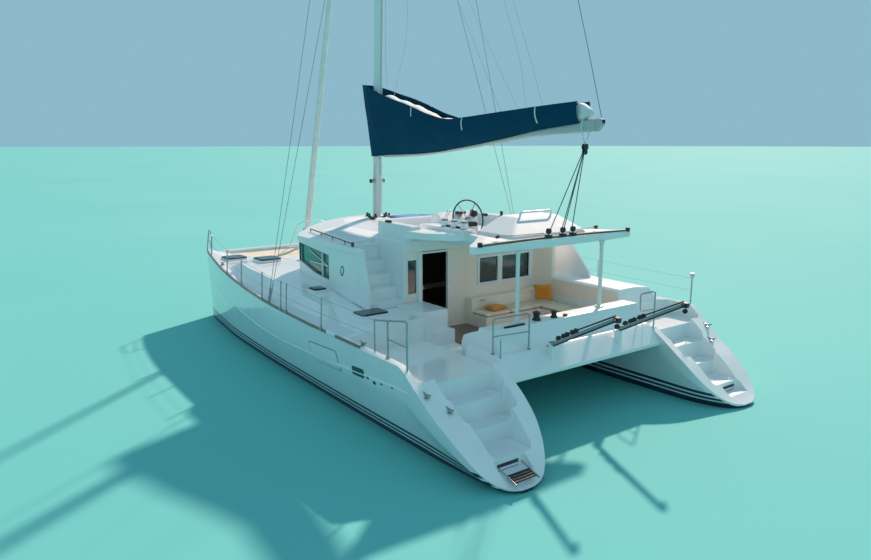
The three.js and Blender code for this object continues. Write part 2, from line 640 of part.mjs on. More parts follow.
const WHEEL_R = 400;
function helmWheel() {
  const rim = new THREE.TorusGeometry(WHEEL_R, 16, 6, 28);
  const spokes = [0, 1, 2, 3, 4].map((i) => {
    const angle = (i * 2 * Math.PI) / 5;
    return rod(at(0, 0, 0), at(WHEEL_R * Math.cos(angle), WHEEL_R * Math.sin(angle), 0), 9);
  });
  const hub = rod(at(0, 0, -HUB.forward), at(0, 0, HUB.aft), HUB.radius, 12);
  return join(rim, hub, ...spokes).rotateY(HELM_TILT - Math.PI / 2).translate(HELM.x, HELM.y, HELM.z);
}

// Interior that shows through the door and windows
function saloonFurniture() {
  const galley = block([-1700, 900], [1150, 1720], [SOLE_Z + GAP, 1990]);
  const front = block([300, 2000], [-1990, 1300], [SOLE_Z + GAP, 1560]);
  return join(galley, front);
}

// Foredeck rig
function crossbeam() {
  const z = 1860;
  const spar = rod(at(CROSSBEAM_X, -2620, z), at(CROSSBEAM_X, 2620, z), 90, 12);
  const catwalk = block([TRAMPOLINE_AFT_X + GAP, 6700], [-130, 130], [1780, 1880]);
  const striker = rod(at(CROSSBEAM_X, 0, z), at(CROSSBEAM_X, 0, 2090), 40, 8);
  const rail = bentRod([at(6250, 620, 1880), at(5900, 480, 2600), at(5850, 250, 2680), at(5850, -250, 2680),
    at(5900, -480, 2600), at(6250, -620, 1880)], 16);
  const bridge = block([6220, 6280], [-660, 660], [1820, 1890]);
  const hulls = [PORT, STARBOARD].map((side) => onSide(loft(HULL_STATIONS.map(hullRing)).translate(0, -GAP, 0), side));
  return cut(join(spar, catwalk, striker, rail, bridge), ...hulls);
}

function trampoline(side) {
  const outline = [[TRAMPOLINE_AFT_X + 60, 150], [6200, 150], [6200, 2620], [4760, 2110], [TRAMPOLINE_AFT_X + 60, 1930]];
  return onSide(prism(outline, 1835, 1845), side);
}

const STANCHIONS = [3400, 2150, 700, -330, -600, -2150];
const STANCHION_TOP = 620;
function sheerAt(x) {
  const stations = HULL_STATIONS;
  const next = stations.findIndex((station) => station[0] <= x);
  const [a, b] = [stations[next - 1], stations[next]];
  const part = (x - a[0]) / (b[0] - a[0]);
  return { y: a[2] + (b[2] - a[2]) * part, z: a[3] + (b[3] - a[3]) * part };
}

function toeRail(side) {
  const xs = [6700, 6200, 4700, 4150, 3300, 2300, 1200, 0, -1000, -1800, -3000, -3600];
  const rings = xs.map((x) => {
    const { y, z } = sheerAt(x);
    return [at(x, y - 12, z + 14), at(x, y - 12, z + 50), at(x, y - 44, z + 54), at(x, y - 44, z + 18)];
  });
  const posts = STANCHIONS.map((x) => {
    const { y, z } = sheerAt(x);
    return rod(at(x, y - 28, z + 30), at(x, y - 60, z + STANCHION_TOP), 14);
  });
  const { y, z } = sheerAt(6500);
  const pulpit = bentRod([at(5600, sheerAt(5600).y - 28, sheerAt(5600).z + 30), at(5750, 3150, 2480),
    at(6550, 2960, 2560), at(6560, y - 28, z + 30)], 16);
  return onSide(join(loft(rings), ...posts, pulpit), side);
}

// Two legs, a top bar and a middle bar. A foot and its head share x and y
function railFrame(feet, tops) {
  const heads = feet.map((foot, i) => at(foot.x, foot.y, tops[i]));
  const middles = feet.map((foot, i) => at(foot.x, foot.y, (foot.z + tops[i]) / 2));
  return join(bentRod([feet[0], heads[0], heads[1], feet[1]], 15), rod(middles[0], middles[1], 11));
}

// On the bulwark: to port a stanchion and a frame, to starboard a post with the stern light
function aftRail(side) {
  if (side === STARBOARD) {
    const post = rod(at(-4850, 3740, 1510), at(-4850, 3740, 2160), 15);
    return onSide(join(post, block([-4890, -4810], [3705, 3775], [2150, 2240])), side);
  }
  const frame = railFrame([at(-4370, 3740, 1575), at(-4930, 3740, 1455)], [2190, 2290]);
  const stanchion = rod(at(-3960, 3740, 1575), at(-3960, 3740, 2130), 14);
  return join(frame, stanchion, rod(at(-3960, 3740, 2110), at(-4370, 3740, 2170), 5));
}

function deckRail(side) {
  if (side === STARBOARD) {
    return onSide(railFrame([at(-4820, 2060, AFT_DECK_Z + GAP), at(-5170, 2060, 1364)], [1980, 2100]), side);
  }
  return railFrame([at(-4900, 1960, 1440 + GAP), at(-5040, 1250, 1440 + GAP)], [2060, 2090]);
}

function hardtopPost(side) {
  return onSide(rod(at(-4560, 1107, COAMING_Z + GAP), at(-4560, 1107, HARDTOP_Z - GAP), 36, 10), side);
}

function travellerTrack() {
  const steps = 8;
  const top = [];
  for (let i = 0; i <= steps; i++) {
    const y = -1930 + (3860 * i) / steps;
    top.push([y, HARDTOP_EDGE_Z + (HARDTOP_CROWN_Z - HARDTOP_EDGE_Z) * (1 - (y / HARDTOP_Y) ** 2) + 34]);
  }
  const under = top.slice().reverse().map(([y, z]) => [y, z - 32]);
  return crossPrism([...top, ...under], TRAVELLER_X - 26, TRAVELLER_X + 26);
}

const DAVIT = { foot: [-5300, 1500], tip: [-6660, 2270], y: 890 };
function davit(side) {
  const [fx, fz] = DAVIT.foot;
  const [tx, tz] = DAVIT.tip;
  const arm = sidePrism([[fx + 60, fz], [fx - 60, fz - 10], [tx, tz - 35], [tx, tz + 20], [fx + 60, fz + 75]],
    DAVIT.y - 28, DAVIT.y + 28);
  const sheave = block([tx - 60, tx + 60], [DAVIT.y - 30, DAVIT.y + 30], [tz - 130, tz - 20]);
  const foot = block([fx - 10, fx + 120], [DAVIT.y - 55, DAVIT.y + 55], [1100, fz + 20]);
  return onSide(cut(join(arm, sheave, foot), aftCoaming().translate(0, 0, GAP)), side);
}

// Rig
function mastX(z) {
  return MAST_X - (z - 3110) * MAST_RAKE;
}

function mast() {
  const section = (z, scale) => {
    const points = [];
    for (let i = 0; i < 14; i++) {
      const angle = (i * 2 * Math.PI) / 14;
      points.push(at(mastX(z) + 145 * scale * Math.cos(angle), 95 * scale * Math.sin(angle), z));
    }
    return points;
  };
  const tube = loft([section(3145, 1), section(HOUNDS_Z, 1), section(MAST_TOP_Z, 0.62)]);
  const step = block([MAST_X - 210, MAST_X + 190], [-170, 170], [3105, 3150]);
  const spreaders = [9700, 14700].flatMap((z) => [PORT, STARBOARD].map((side) =>
    rod(at(mastX(z), 0, z), at(mastX(z) - 420, side * 1500, z + 90), 42, 8, 26)));
  const jaws = [-86, 86].map((z) =>
    block([GOOSENECK.x - 30, GOOSENECK.x + 120], [-26, 26], [GOOSENECK.z + z - 9, GOOSENECK.z + z + 9]));
  const pin = rod(at(GOOSENECK.x, 0, GOOSENECK.z - 90), at(GOOSENECK.x, 0, GOOSENECK.z + 90), 10, 10);
  return cut(join(tube, step, ...spreaders, ...jaws, pin), saloonRoof().translate(0, 0, GAP));
}

function shrouds(side) {
  const start = CHAINPLATE.clone();
  const turnbuckle = rod(at(start.x, start.y, start.z - 130), at(start.x + 10, start.y - 22, start.z + 420), 22);
  const cap = rod(start, at(mastX(HOUNDS_Z) - 20, 104, HOUNDS_Z), 7);
  const lower = rod(start, at(mastX(LOWERS_Z) - 20, 104, LOWERS_Z), 6);
  const deck = loft(HULL_STATIONS.map(hullRing));
  return onSide(cut(join(turnbuckle, cap, lower), deck.translate(0, GAP, GAP)), side);
}

const HOUNDS = at(mastX(HOUNDS_Z) + 156, 0, HOUNDS_Z);
function onForestay(part) {
  return new THREE.Vector3().lerpVectors(FORESTAY_FOOT, HOUNDS, part);
}

function forestay() {
  return cut(rod(onForestay(-0.002), onForestay(0.999), 7), crossbeam());
}

const STAY_HOLE = 14;
function furledGenoa() {
  const drum = rod(onForestay(0.016), onForestay(0.028), 120, 16);
  const roll = rod(onForestay(0.024), onForestay(0.97), 92, 12, 45);
  return cut(join(drum, roll), rod(onForestay(0), onForestay(1), STAY_HOLE, 10));
}

const PIN_HOLE = 16;
function boom() {
  const along = new THREE.Vector3().subVectors(BOOM_END, GOOSENECK).normalize();
  const start = GOOSENECK.clone().addScaledVector(along, 130);
  const outline = [[-75, -130], [75, -130], [90, -60], [90, 60], [70, 130], [-70, 130], [-90, 60], [-90, -60]];
  const ring = (centre) => outline.map(([y, z]) => at(centre.x, y, centre.z + z));
  const toggle = block([start.x - 60, GOOSENECK.x + 22], [-27, 27], [GOOSENECK.z - 68, GOOSENECK.z + 68]);
  const hole = rod(at(GOOSENECK.x, 0, GOOSENECK.z - 100), at(GOOSENECK.x, 0, GOOSENECK.z + 100), PIN_HOLE, 12);
  return cut(join(loft([ring(start), ring(BOOM_END)]), toggle), hole);
}

// Sail bag on the boom. Columns: x, top z, half width at the top, half width below
const BAG_SECTIONS = [
  [1430, 6130, 90, 70],
  [900, 5960, 190, 120],
  [300, 5780, 260, 150],
  [-700, 5590, 300, 170],
  [-1500, 5530, 300, 180],
  [-2600, 5590, 280, 180],
  [-3600, 5670, 240, 160],
  [-4750, 5730, 160, 120],
];
function boomZ(x) {
  return GOOSENECK.z + ((BOOM_END.z - GOOSENECK.z) * (x - GOOSENECK.x)) / (BOOM_END.x - GOOSENECK.x);
}

function sailBag() {
  const rings = BAG_SECTIONS.map(([x, top, half, low]) => {
    const bottom = boomZ(x) + 130 + GAP;
    const height = top - bottom;
    return [
      at(x, half, top), at(x, half * 1.08, bottom + height * 0.45), at(x, low, bottom),
      at(x, -low, bottom), at(x, -half * 1.08, bottom + height * 0.45), at(x, -half, top),
    ];
  });
  return loft(rings);
}

// Front of the sail bag, laced round the mast
function bagCollar() {
  const halfY = 230;
  const outline = (grow) => [[2520, 6480], [2060 - grow, 6420], [1700 - grow, 6200], [1740, 5300], [1900, 4960],
    [2060, 4960], [2330 + grow, 5900]];
  const shell = sidePrism(outline(0), -halfY, halfY);
  const hollow = sidePrism([[2500, 4000], [1500, 4000], [1200, 7000], [2500, 7000]], -halfY + 8, halfY - 8);
  const nose = sidePrism([[2900, 4000], [2262, 4000], [2290, 5900], [2470, 6480], [2500, 7000], [2900, 7000]],
    -halfY - 10, halfY + 10);
  return cut(shell, cut(hollow, nose));
}

// Assembly
add('port_hull', hull(PORT), 'gelcoat');
add('starboard_hull', hull(STARBOARD), 'gelcoat');
[PORT, STARBOARD].forEach((side) => {
  const name = sideName(side);
  add(`${name}_drive`, drive(side), 'iron');
  add(`${name}_propeller`, propeller(side), 'bronze');
  add(`${name}_rudder`, rudder(side), 'gelcoat');
  add(`${name}_stairs`, stairs(side), 'gelcoat');
  add(`${name}_trampoline`, trampoline(side), 'netting');
  add(`${name}_toe_rail`, toeRail(side), 'teak');
  add(`${name}_aft_rail`, aftRail(side), 'steel');
  add(`${name}_deck_rail`, deckRail(side), 'steel');
  add(`${name}_hardtop_post`, hardtopPost(side), 'steel');
  add(`${name}_davit`, davit(side), 'aluminium');
  add(`${name}_shrouds`, shrouds(side), 'steel');
  hatchesOn(side).forEach((hatch) => add(`${name}_${hatch[0]}`, hatchLid(hatch, side), 'dark_glass'));
});
add('bridgedeck', bridgedeck(), 'gelcoat');
add('aft_coaming', aftCoaming(), 'gelcoat');
add('starboard_coaming', starboardCoaming(), 'gelcoat');
add('cockpit_settee', settee(), 'cream');
add('settee_cushions', setteeCushions(), 'cream');
add('flat_cushion', flatCushion(), 'orange_cloth');
add('upright_cushion', uprightCushion(), 'orange_cloth');
add('saloon_walls', saloonWalls(), 'gelcoat');
add('saloon_windows', saloonWindows(), 'dark_glass');
add('saloon_bulkhead', bulkhead(), 'cream');
add('bulkhead_window', bulkheadWindow(), 'dark_glass');
add('saloon_door', saloonDoor(), 'dark_glass');
add('saloon_furniture', saloonFurniture(), 'wood');
add('saloon_roof', saloonRoof(), 'gelcoat');
add('hardtop', hardtop(), 'gelcoat');
add('helm_console', helmConsole(), 'gelcoat');
add('helm_seat', helmSeat(), 'gelcoat');
add('helm_wheel', helmWheel(), 'black');
add('sunpad', sunpad(), 'blue_cloth');
add('crossbeam', crossbeam(), 'aluminium');
add('traveller_track', travellerTrack(), 'black');
add('swim_ladder', swimLadder(), 'steel');
add('mast', mast(), 'aluminium');
add('forestay', forestay(), 'steel');
add('furled_genoa', furledGenoa(), 'sailcloth');
add('boom', boom(), 'aluminium');
add('sail_bag', sailBag(), 'navy_canvas');
add('bag_collar', bagCollar(), 'navy_canvas');

export default boat;
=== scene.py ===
"""Looks of a cruising catamaran afloat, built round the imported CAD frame.

Metres. +X forward, +Y to port, +Z up, origin on the centreline, amidships, at the waterline.
"""

import json
import math

import bmesh
import bpy
import numpy as np
from mathutils import Matrix, Vector
from mathutils.bvhtree import BVHTree
from mathutils.geometry import delaunay_2d_cdt

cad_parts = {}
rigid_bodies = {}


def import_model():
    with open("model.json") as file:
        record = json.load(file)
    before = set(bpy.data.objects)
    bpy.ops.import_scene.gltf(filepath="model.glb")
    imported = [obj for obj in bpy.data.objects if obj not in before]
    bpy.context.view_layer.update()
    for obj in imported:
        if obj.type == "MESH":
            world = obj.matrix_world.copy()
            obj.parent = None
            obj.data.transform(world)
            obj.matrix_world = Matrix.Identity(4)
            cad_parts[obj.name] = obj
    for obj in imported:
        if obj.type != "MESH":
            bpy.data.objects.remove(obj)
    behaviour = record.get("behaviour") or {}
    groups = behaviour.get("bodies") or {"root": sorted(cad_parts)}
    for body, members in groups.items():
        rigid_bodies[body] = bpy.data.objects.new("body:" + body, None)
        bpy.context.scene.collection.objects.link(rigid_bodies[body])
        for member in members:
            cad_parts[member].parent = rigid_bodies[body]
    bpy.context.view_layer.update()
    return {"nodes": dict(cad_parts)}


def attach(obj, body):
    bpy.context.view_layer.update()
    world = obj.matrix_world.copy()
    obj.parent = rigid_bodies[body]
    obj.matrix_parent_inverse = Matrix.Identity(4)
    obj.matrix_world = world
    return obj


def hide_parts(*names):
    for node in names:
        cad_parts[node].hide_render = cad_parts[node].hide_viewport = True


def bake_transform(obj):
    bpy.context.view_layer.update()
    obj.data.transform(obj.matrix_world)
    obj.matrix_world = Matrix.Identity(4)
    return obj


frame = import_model()
nodes = frame["nodes"]

# Camera and studio
PHOTO_WIDTH = 871
FOCAL_PX = 705.524
SENSOR = 36.0
CAMERA_AT = Vector((-13.746, 9.592, 4.983))
CAMERA_YAW = math.radians(-35.9746)
CAMERA_PITCH = math.radians(10.9052)

camera_data = bpy.data.cameras.new("camera")
camera_data.sensor_width = SENSOR
camera_data.lens = FOCAL_PX * SENSOR / PHOTO_WIDTH
camera_data.clip_start, camera_data.clip_end = 0.1, 4000
camera = bpy.data.objects.new("camera", camera_data)
bpy.context.scene.collection.objects.link(camera)
ahead = Vector((
    math.cos(CAMERA_YAW) * math.cos(CAMERA_PITCH),
    math.sin(CAMERA_YAW) * math.cos(CAMERA_PITCH),
    -math.sin(CAMERA_PITCH),
))
right = ahead.cross(Vector((0, 0, 1))).normalized()
above = right.cross(ahead)
camera.matrix_world = Matrix((
    (right.x, above.x, -ahead.x, CAMERA_AT.x),
    (right.y, above.y, -ahead.y, CAMERA_AT.y),
    (right.z, above.z, -ahead.z, CAMERA_AT.z),
    (0, 0, 0, 1),
))
bpy.context.scene.camera = camera


# Materials
class Nodes:
    """A short way to write a material's node tree."""

    def __init__(self, name):
        self.material = bpy.data.materials.new(name)
        self.material.use_nodes = True
        self.tree = self.material.node_tree
        self.shader = self.tree.nodes["Principled BSDF"]
        self.place = self.add("ShaderNodeTexCoord").outputs["Object"]

    def add(self, kind, **settings):
        node = self.tree.nodes.new(kind)
        for key, value in settings.items():
            setattr(node, key, value)
        return node

    def link(self, source, target):
        self.tree.links.new(source, target)

    def noise(self, scale, detail=4.0, stretch=(1, 1, 1), rough=0.55):
        mapping = self.add("ShaderNodeMapping")
        mapping.inputs["Scale"].default_value = stretch
        self.link(self.place, mapping.inputs["Vector"])
        node = self.add("ShaderNodeTexNoise")
        node.inputs["Scale"].default_value = scale
        node.inputs["Detail"].default_value = detail
        node.inputs["Roughness"].default_value = rough
        self.link(mapping.outputs["Vector"], node.inputs["Vector"])
        return node.outputs["Fac"]

    def ramp(self, source, stops):
        node = self.add("ShaderNodeValToRGB")
        elements = node.color_ramp.elements
        while len(elements) < len(stops):
            elements.new(0.5)
        for element, (at, color) in zip(elements, stops):
            element.position = at
            element.color = (*color, 1.0) if len(color) == 3 else color
        self.link(source, node.inputs["Fac"])
        return node.outputs["Color"]

    def math(self, operation, a, b=0.0, c=0.0):
        node = self.add("ShaderNodeMath", operation=operation)
        for slot, value in zip(node.inputs, (a, b, c)):
            if isinstance(value, (int, float)):
                slot.default_value = value
            else:
                self.link(value, slot)
        return node.outputs[0]

    def axis(self, name):
        node = self.add("ShaderNodeSeparateXYZ")
        self.link(self.place, node.inputs[0])
        return node.outputs[name]

    def bump(self, height, strength, distance):
        node = self.add("ShaderNodeBump")
        node.inputs["Strength"].default_value = strength
        node.inputs["Distance"].default_value = distance
        self.link(height, node.inputs["Height"])
        self.link(node.outputs["Normal"], self.shader.inputs["Normal"])

    def set(self, **values):
        for key, value in values.items():
            self.shader.inputs[key.replace("_", " ")].default_value = value

    def paint(self, source, stops):
        """Colours the shader by a ramp over source."""
        self.link(self.ramp(source, stops), self.shader.inputs["Base Color"])

    def roughen(self, source, low, reach):
        """Lets the roughness run from low to low + reach with source."""
        self.link(self.math("MULTIPLY_ADD", source, reach, low), self.shader.inputs["Roughness"])


def shade(color, factor):
    return tuple(min(1.0, max(0.0, c * factor)) for c in color)


def moulded(name, color, rough=0.3, speckle=0.0, dirt=0.06, coat=0.3):
    """Gelcoat: faint weathering in the colour and roughness, and a fine orange peel or tread pattern."""
    n = Nodes(name)
    n.paint(n.noise(0.9, 6.0, (1, 1, 0.5)), [(0.3, shade(color, 1 - dirt)), (0.62, color)])
    n.roughen(n.noise(5, 3.0), rough - 0.07, 0.14)
    fine = n.noise(260 if speckle else 35, 2.0)
    n.bump(fine, speckle or 0.03, 0.0015 if speckle else 0.001)
    n.set(Coat_Weight=coat, Coat_Roughness=0.12)
    return n.material


def metal(name, color, rough=0.25):
    """Metal with a fine brushed grain."""
    n = Nodes(name)
    grain = n.noise(160, 3.0, (1, 1, 0.08))
    n.paint(n.noise(7, 4.0), [(0.3, shade(color, 0.86)), (0.7, color)])
    n.roughen(grain, rough - 0.08, 0.16)
    n.bump(grain, 0.04, 0.0006)
    n.set(Metallic=1.0)
    return n.material


def plastic(name, color, rough=0.5):
    n = Nodes(name)
    n.paint(n.noise(12, 5.0), [(0.3, shade(color, 0.8)), (0.7, shade(color, 1.15))])
    n.roughen(n.noise(40, 2.0), rough - 0.1, 0.2)
    n.bump(n.noise(300, 2.0), 0.08, 0.0006)
    return n.material


def cloth(name, color, weave=900.0, fade=0.12, wrinkle=0.25, rough=0.88, sheen=0.3, gloss=0.5):
    """Woven canvas: warp and weft in the bump, faded patches and soft creases."""
    n = Nodes(name)
    n.paint(n.noise(1.6, 6.0, (1, 1, 2.2)), [(0.25, shade(color, 1 - fade)), (0.75, shade(color, 1 + fade))])
    warp = n.math("SINE", n.math("MULTIPLY", n.axis("X"), weave))
    weft = n.math("SINE", n.math("MULTIPLY", n.axis("Z"), weave))
    thread = n.math("MULTIPLY", n.math("ADD", warp, weft), 0.04)
    creases = n.noise(4.5, 5.0, (0.5, 1, 1.6))
    n.bump(n.math("ADD", creases, thread), wrinkle, 0.03)
    n.set(Roughness=rough, Sheen_Weight=sheen, Sheen_Roughness=0.5, Specular_IOR_Level=gloss)
    return n.material


def timber(name, color, rough=0.45):
    n = Nodes(name)
    grain = n.noise(14, 6.0, (0.25, 6, 6))
    n.paint(grain, [(0.3, shade(color, 0.55)), (0.7, shade(color, 1.25))])
    n.bump(grain, 0.15, 0.001)
    n.set(Roughness=rough, Coat_Weight=0.4, Coat_Roughness=0.2)
    return n.material


def tinted(name, color, rough=0.06):
    """Dark acrylic glazing with a faint green cast."""
    n = Nodes(name)
    n.paint(n.noise(1.1, 2.0), [(0.3, shade(color, 0.7)), (0.7, shade(color, 1.5))])
    n.roughen(n.noise(3, 3.0), rough, 0.06)
    n.set(Coat_Weight=1.0, Coat_Roughness=0.03, IOR=1.5)
    return n.material


HULL_Y = 2.9
# Boot stripes. Columns: bottom z, top z of each dark stripe
STRIPES = [(-2.0, 0.115), (0.150, 0.200), (0.240, 0.300)]
BOTTOM_PAINT_Z = 0.05
# At the stern the stripes end on the line where z - END_SLOPE * x is END_LEVEL
END_SLOPE = 0.763
END_LEVEL = 5.218


def topsides(name, white, navy):
    """White topsides with dark boot stripes, and dark bottom paint from the waterline down."""
    n = Nodes(name)
    height = n.axis("Z")
    dark = None
    for low, high in STRIPES:
        inside = n.math("MULTIPLY", n.math("GREATER_THAN", height, low), n.math("LESS_THAN", height, high))
        dark = inside if dark is None else n.math("MAXIMUM", dark, inside)
    facing = n.add("ShaderNodeSeparateXYZ")
    n.link(n.add("ShaderNodeNewGeometry").outputs["Normal"], facing.inputs[0])
    upright = n.math("LESS_THAN", n.math("ABSOLUTE", facing.outputs["Z"]), 0.8)
    across = n.axis("Y")
    outward = n.math("MULTIPLY", n.math("SIGN", across), facing.outputs["Y"])
    away = n.math("MULTIPLY", n.math("SUBTRACT", n.math("ABSOLUTE", across), HULL_Y), outward)
    level = n.math("MULTIPLY_ADD", n.axis("X"), -END_SLOPE, height)
    skin = n.math("MULTIPLY", n.math("GREATER_THAN", away, -0.02), n.math("LESS_THAN", level, END_LEVEL))
    striped = n.math("MULTIPLY", upright, skin)
    wet = n.math("LESS_THAN", height, BOTTOM_PAINT_Z)
    painted = n.math("MULTIPLY", dark, n.math("MAXIMUM", striped, wet))
    clean = n.ramp(n.noise(2.2, 6.0, (1, 1, 0.25)), [(0.3, shade(white, 0.95)), (0.6, white)])
    bottom = n.ramp(n.noise(6, 5.0), [(0.3, shade(navy, 0.6)), (0.7, shade(navy, 1.5))])
    mix = n.add("ShaderNodeMix", data_type="RGBA")
    n.link(painted, mix.inputs[0])
    n.link(clean, mix.inputs[6])
    n.link(bottom, mix.inputs[7])
    n.link(mix.outputs[2], n.shader.inputs["Base Color"])
    n.roughen(painted, 0.16, 0.3)
    n.bump(n.noise(30, 2.0), 0.02, 0.001)
    n.set(Coat_Weight=0.5, Coat_Roughness=0.06)
    return n.material


WHITE = (0.86, 0.875, 0.88)
MATERIALS = {
    "gelcoat": moulded("gelcoat", WHITE),
    "topsides": topsides("topsides", WHITE, (0.012, 0.022, 0.05)),
    "nonskid": moulded("nonskid", (0.74, 0.79, 0.82), 0.7, speckle=0.35, coat=0.0),
    "cream": moulded("cream", (0.97, 0.84, 0.72), 0.5, coat=0.1),
    "leather": moulded("leather", (0.90, 0.76, 0.60), 0.6, speckle=0.12, dirt=0.15, coat=0.0),
    "steel": metal("steel", (0.40, 0.42, 0.44), 0.25),
    "aluminium": metal("aluminium", (0.62, 0.65, 0.68), 0.4),
    "spar": moulded("spar", (0.80, 0.83, 0.82), 0.42, dirt=0.1, coat=0.2),
    "boom_grey": moulded("boom_grey", (0.46, 0.49, 0.48), 0.42, dirt=0.1, coat=0.2),
    "davit_grey": moulded("davit_grey", (0.30, 0.33, 0.34), 0.45, dirt=0.15, coat=0.2),
    "black": plastic("black", (0.018, 0.018, 0.02)),
    "dark_glass": tinted("dark_glass", (0.012, 0.028, 0.028)),
    "green_glass": tinted("green_glass", (0.0, 0.15, 0.11)),
    "navy_canvas": cloth("navy_canvas", (0.0, 0.052, 0.105), sheen=0.0, gloss=0.12),
    "sailcloth": cloth("sailcloth", (0.74, 0.76, 0.76), weave=500, fade=0.08, wrinkle=0.35, rough=0.7),
    "orange_cloth": cloth("orange_cloth", (0.80, 0.28, 0.02), weave=1500, wrinkle=0.3),
    "blue_cloth": cloth("blue_cloth", (0.02, 0.22, 0.50), weave=1200, wrinkle=0.3),
    "netting": cloth("netting", (0.70, 0.60, 0.46), weave=160, wrinkle=0.5),
    "teak": timber("teak", (0.22, 0.115, 0.085)),
    "wood": timber("wood", (0.20, 0.09, 0.04)),
    "track": plastic("track", (0.10, 0.075, 0.06), 0.45),
    "bronze": metal("bronze", (0.45, 0.33, 0.14), 0.35),
    "smoked": plastic("smoked", (0.010, 0.030, 0.045), 0.15),
    "iron": plastic("iron", (0.10, 0.14, 0.17), 0.55),
    "antifouling": plastic("antifouling", (0.012, 0.022, 0.05), 0.75),
    "rope": cloth("rope", (0.62, 0.60, 0.55), weave=700, wrinkle=0.2),
    "orange_rope": cloth("orange_rope", (0.55, 0.30, 0.16), weave=700, wrinkle=0.2),
    "dark_rope": cloth("dark_rope", (0.10, 0.12, 0.13), weave=700, wrinkle=0.2),
}


# Mesh tools
def face_outwards(mesh):
    bm = bmesh.new()
    bm.from_mesh(mesh)
    bmesh.ops.recalc_face_normals(bm, faces=bm.faces)
    bm.to_mesh(mesh)
    bm.free()


def finish_piece(obj, material, body="boat", bevel=0.0, angle=30, segments=2):
    obj.data.materials.clear()
    obj.data.materials.append(MATERIALS[material])
    face_outwards(obj.data)
    smooth_shading(obj.data, angle)
    if bevel:
        round_edges(obj, bevel, angle, segments)
    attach(obj, body)
    return obj


def smooth_shading(mesh, angle=35):
    mesh.polygons.foreach_set("use_smooth", [True] * len(mesh.polygons))
    mesh.set_sharp_from_angle(angle=math.radians(angle))


def round_edges(obj, width, angle=30, segments=2, weld=False):
    if weld:
        obj.modifiers.new("weld", "WELD").merge_threshold = 0.0002
    bevel = obj.modifiers.new("bevel", "BEVEL")
    bevel.width = width
    bevel.segments = segments
    bevel.limit_method = "ANGLE"
    bevel.angle_limit = math.radians(angle)
    bevel.use_clamp_overlap = True
    bevel.harden_normals = False
    normals = obj.modifiers.new("normals", "WEIGHTED_NORMAL")
    normals.keep_sharp = False


def new_object(name, verts, faces):
    mesh = bpy.data.meshes.new(name)
    mesh.from_pydata([tuple(map(float, v)) for v in verts], [], faces)
    mesh.update()
    obj = bpy.data.objects.new(name, mesh)
    bpy.context.scene.collection.objects.link(obj)
    return obj


def joined(name, parts):
    """Several (verts, faces) lists as one mesh object."""
    verts, faces = [], []
    for part_verts, part_faces in parts:
        base = len(verts)
        verts.extend(part_verts)
        faces.extend([tuple(i + base for i in face) for face in part_faces])
    return new_object(name, verts, faces)


def ring_grid(rings, closed_ends=True, closed_ring=True):
    """Skin over rings with the same count of points."""
    rings = [[Vector(p) for p in ring] for ring in rings]
    count = len(rings[0])
    verts = [p for ring in rings for p in ring]
    faces = []
    last = count if closed_ring else count - 1
    for r in range(len(rings) - 1):
        for i in range(last):
            j = (i + 1) % count
            faces.append((r * count + i, r * count + j, (r + 1) * count + j, (r + 1) * count + i))
    if closed_ends and closed_ring:
        faces.append(tuple(reversed(range(count))))
        faces.append(tuple(range((len(rings) - 1) * count, len(rings) * count)))
    return verts, faces


def turns(count):
    """Angles spread evenly round a circle."""
    return [2 * math.pi * i / count for i in range(count)]


def circle(radius, sides):
    return [(radius * math.cos(a), radius * math.sin(a)) for a in turns(sides)]


def oval(across, up, sides):
    """An ellipse from its half sizes."""
    return [(across * math.cos(a), up * math.sin(a)) for a in turns(sides)]


def oblong(across, up):
    """A rectangle from its half sizes."""
    return [(-across, -up), (across, -up), (across, up), (-across, up)]


def squared(value, power):
    """Moves a sine or cosine away from 0, so that an oval comes near a box."""
    return math.copysign(abs(value) ** power, value)


def curve_points(points, steps=6):
    """Catmull-Rom through the points."""
    p = [Vector(q) for q in points]
    if len(p) < 3:
        return p
    p = [2 * p[0] - p[1], *p, 2 * p[-1] - p[-2]]
    out = []
    for i in range(1, len(p) - 2):
        for s in range(steps):
            t = s / steps
            a = 2 * p[i]
            b = (p[i + 1] - p[i - 1]) * t
            c = (2 * p[i - 1] - 5 * p[i] + 4 * p[i + 1] - p[i + 2]) * t * t
            d = (3 * p[i] - p[i - 1] - 3 * p[i + 1] + p[i + 2]) * t * t * t
            out.append(0.5 * (a + b + c + d))
    out.append(p[-2])
    return out


def sweep(points, radius, sides=8, profile=None, taper=None):
    """A tube along points. profile gives its section, taper a factor at each point."""
    path = [Vector(q) for q in points]
    section = profile or circle(radius, sides)
    rings = []
    normal = None
    for i, point in enumerate(path):
        back = path[max(i - 1, 0)]
        front = path[min(i + 1, len(path) - 1)]
        along = (front - back).normalized()
        if normal is None:
            start = Vector((0, 0, 1)) if abs(along.z) < 0.9 else Vector((0, 1, 0))
            normal = (start - along * start.dot(along)).normalized()
        else:
            normal = (normal - along * normal.dot(along)).normalized()
        side = along.cross(normal)
        scale = taper[i] if taper else 1.0
        rings.append([point + (side * u + normal * v) * scale for u, v in section])
    return ring_grid(rings)


def rounded_bend(points, radius, steps=5):
    """Corner points with each corner turned into an arc of about that radius."""
    p = [Vector(q) for q in points]
    out = [p[0]]
    for i in range(1, len(p) - 1):
        a, b = p[i - 1] - p[i], p[i + 1] - p[i]
        reach = min(radius, a.length * 0.45, b.length * 0.45)
        start, end = p[i] + a.normalized() * reach, p[i] + b.normalized() * reach
        for s in range(steps + 1):
            t = s / steps
            out.append(start.lerp(p[i], t).lerp(p[i].lerp(end, t), t))
    out.append(p[-1])
    return out


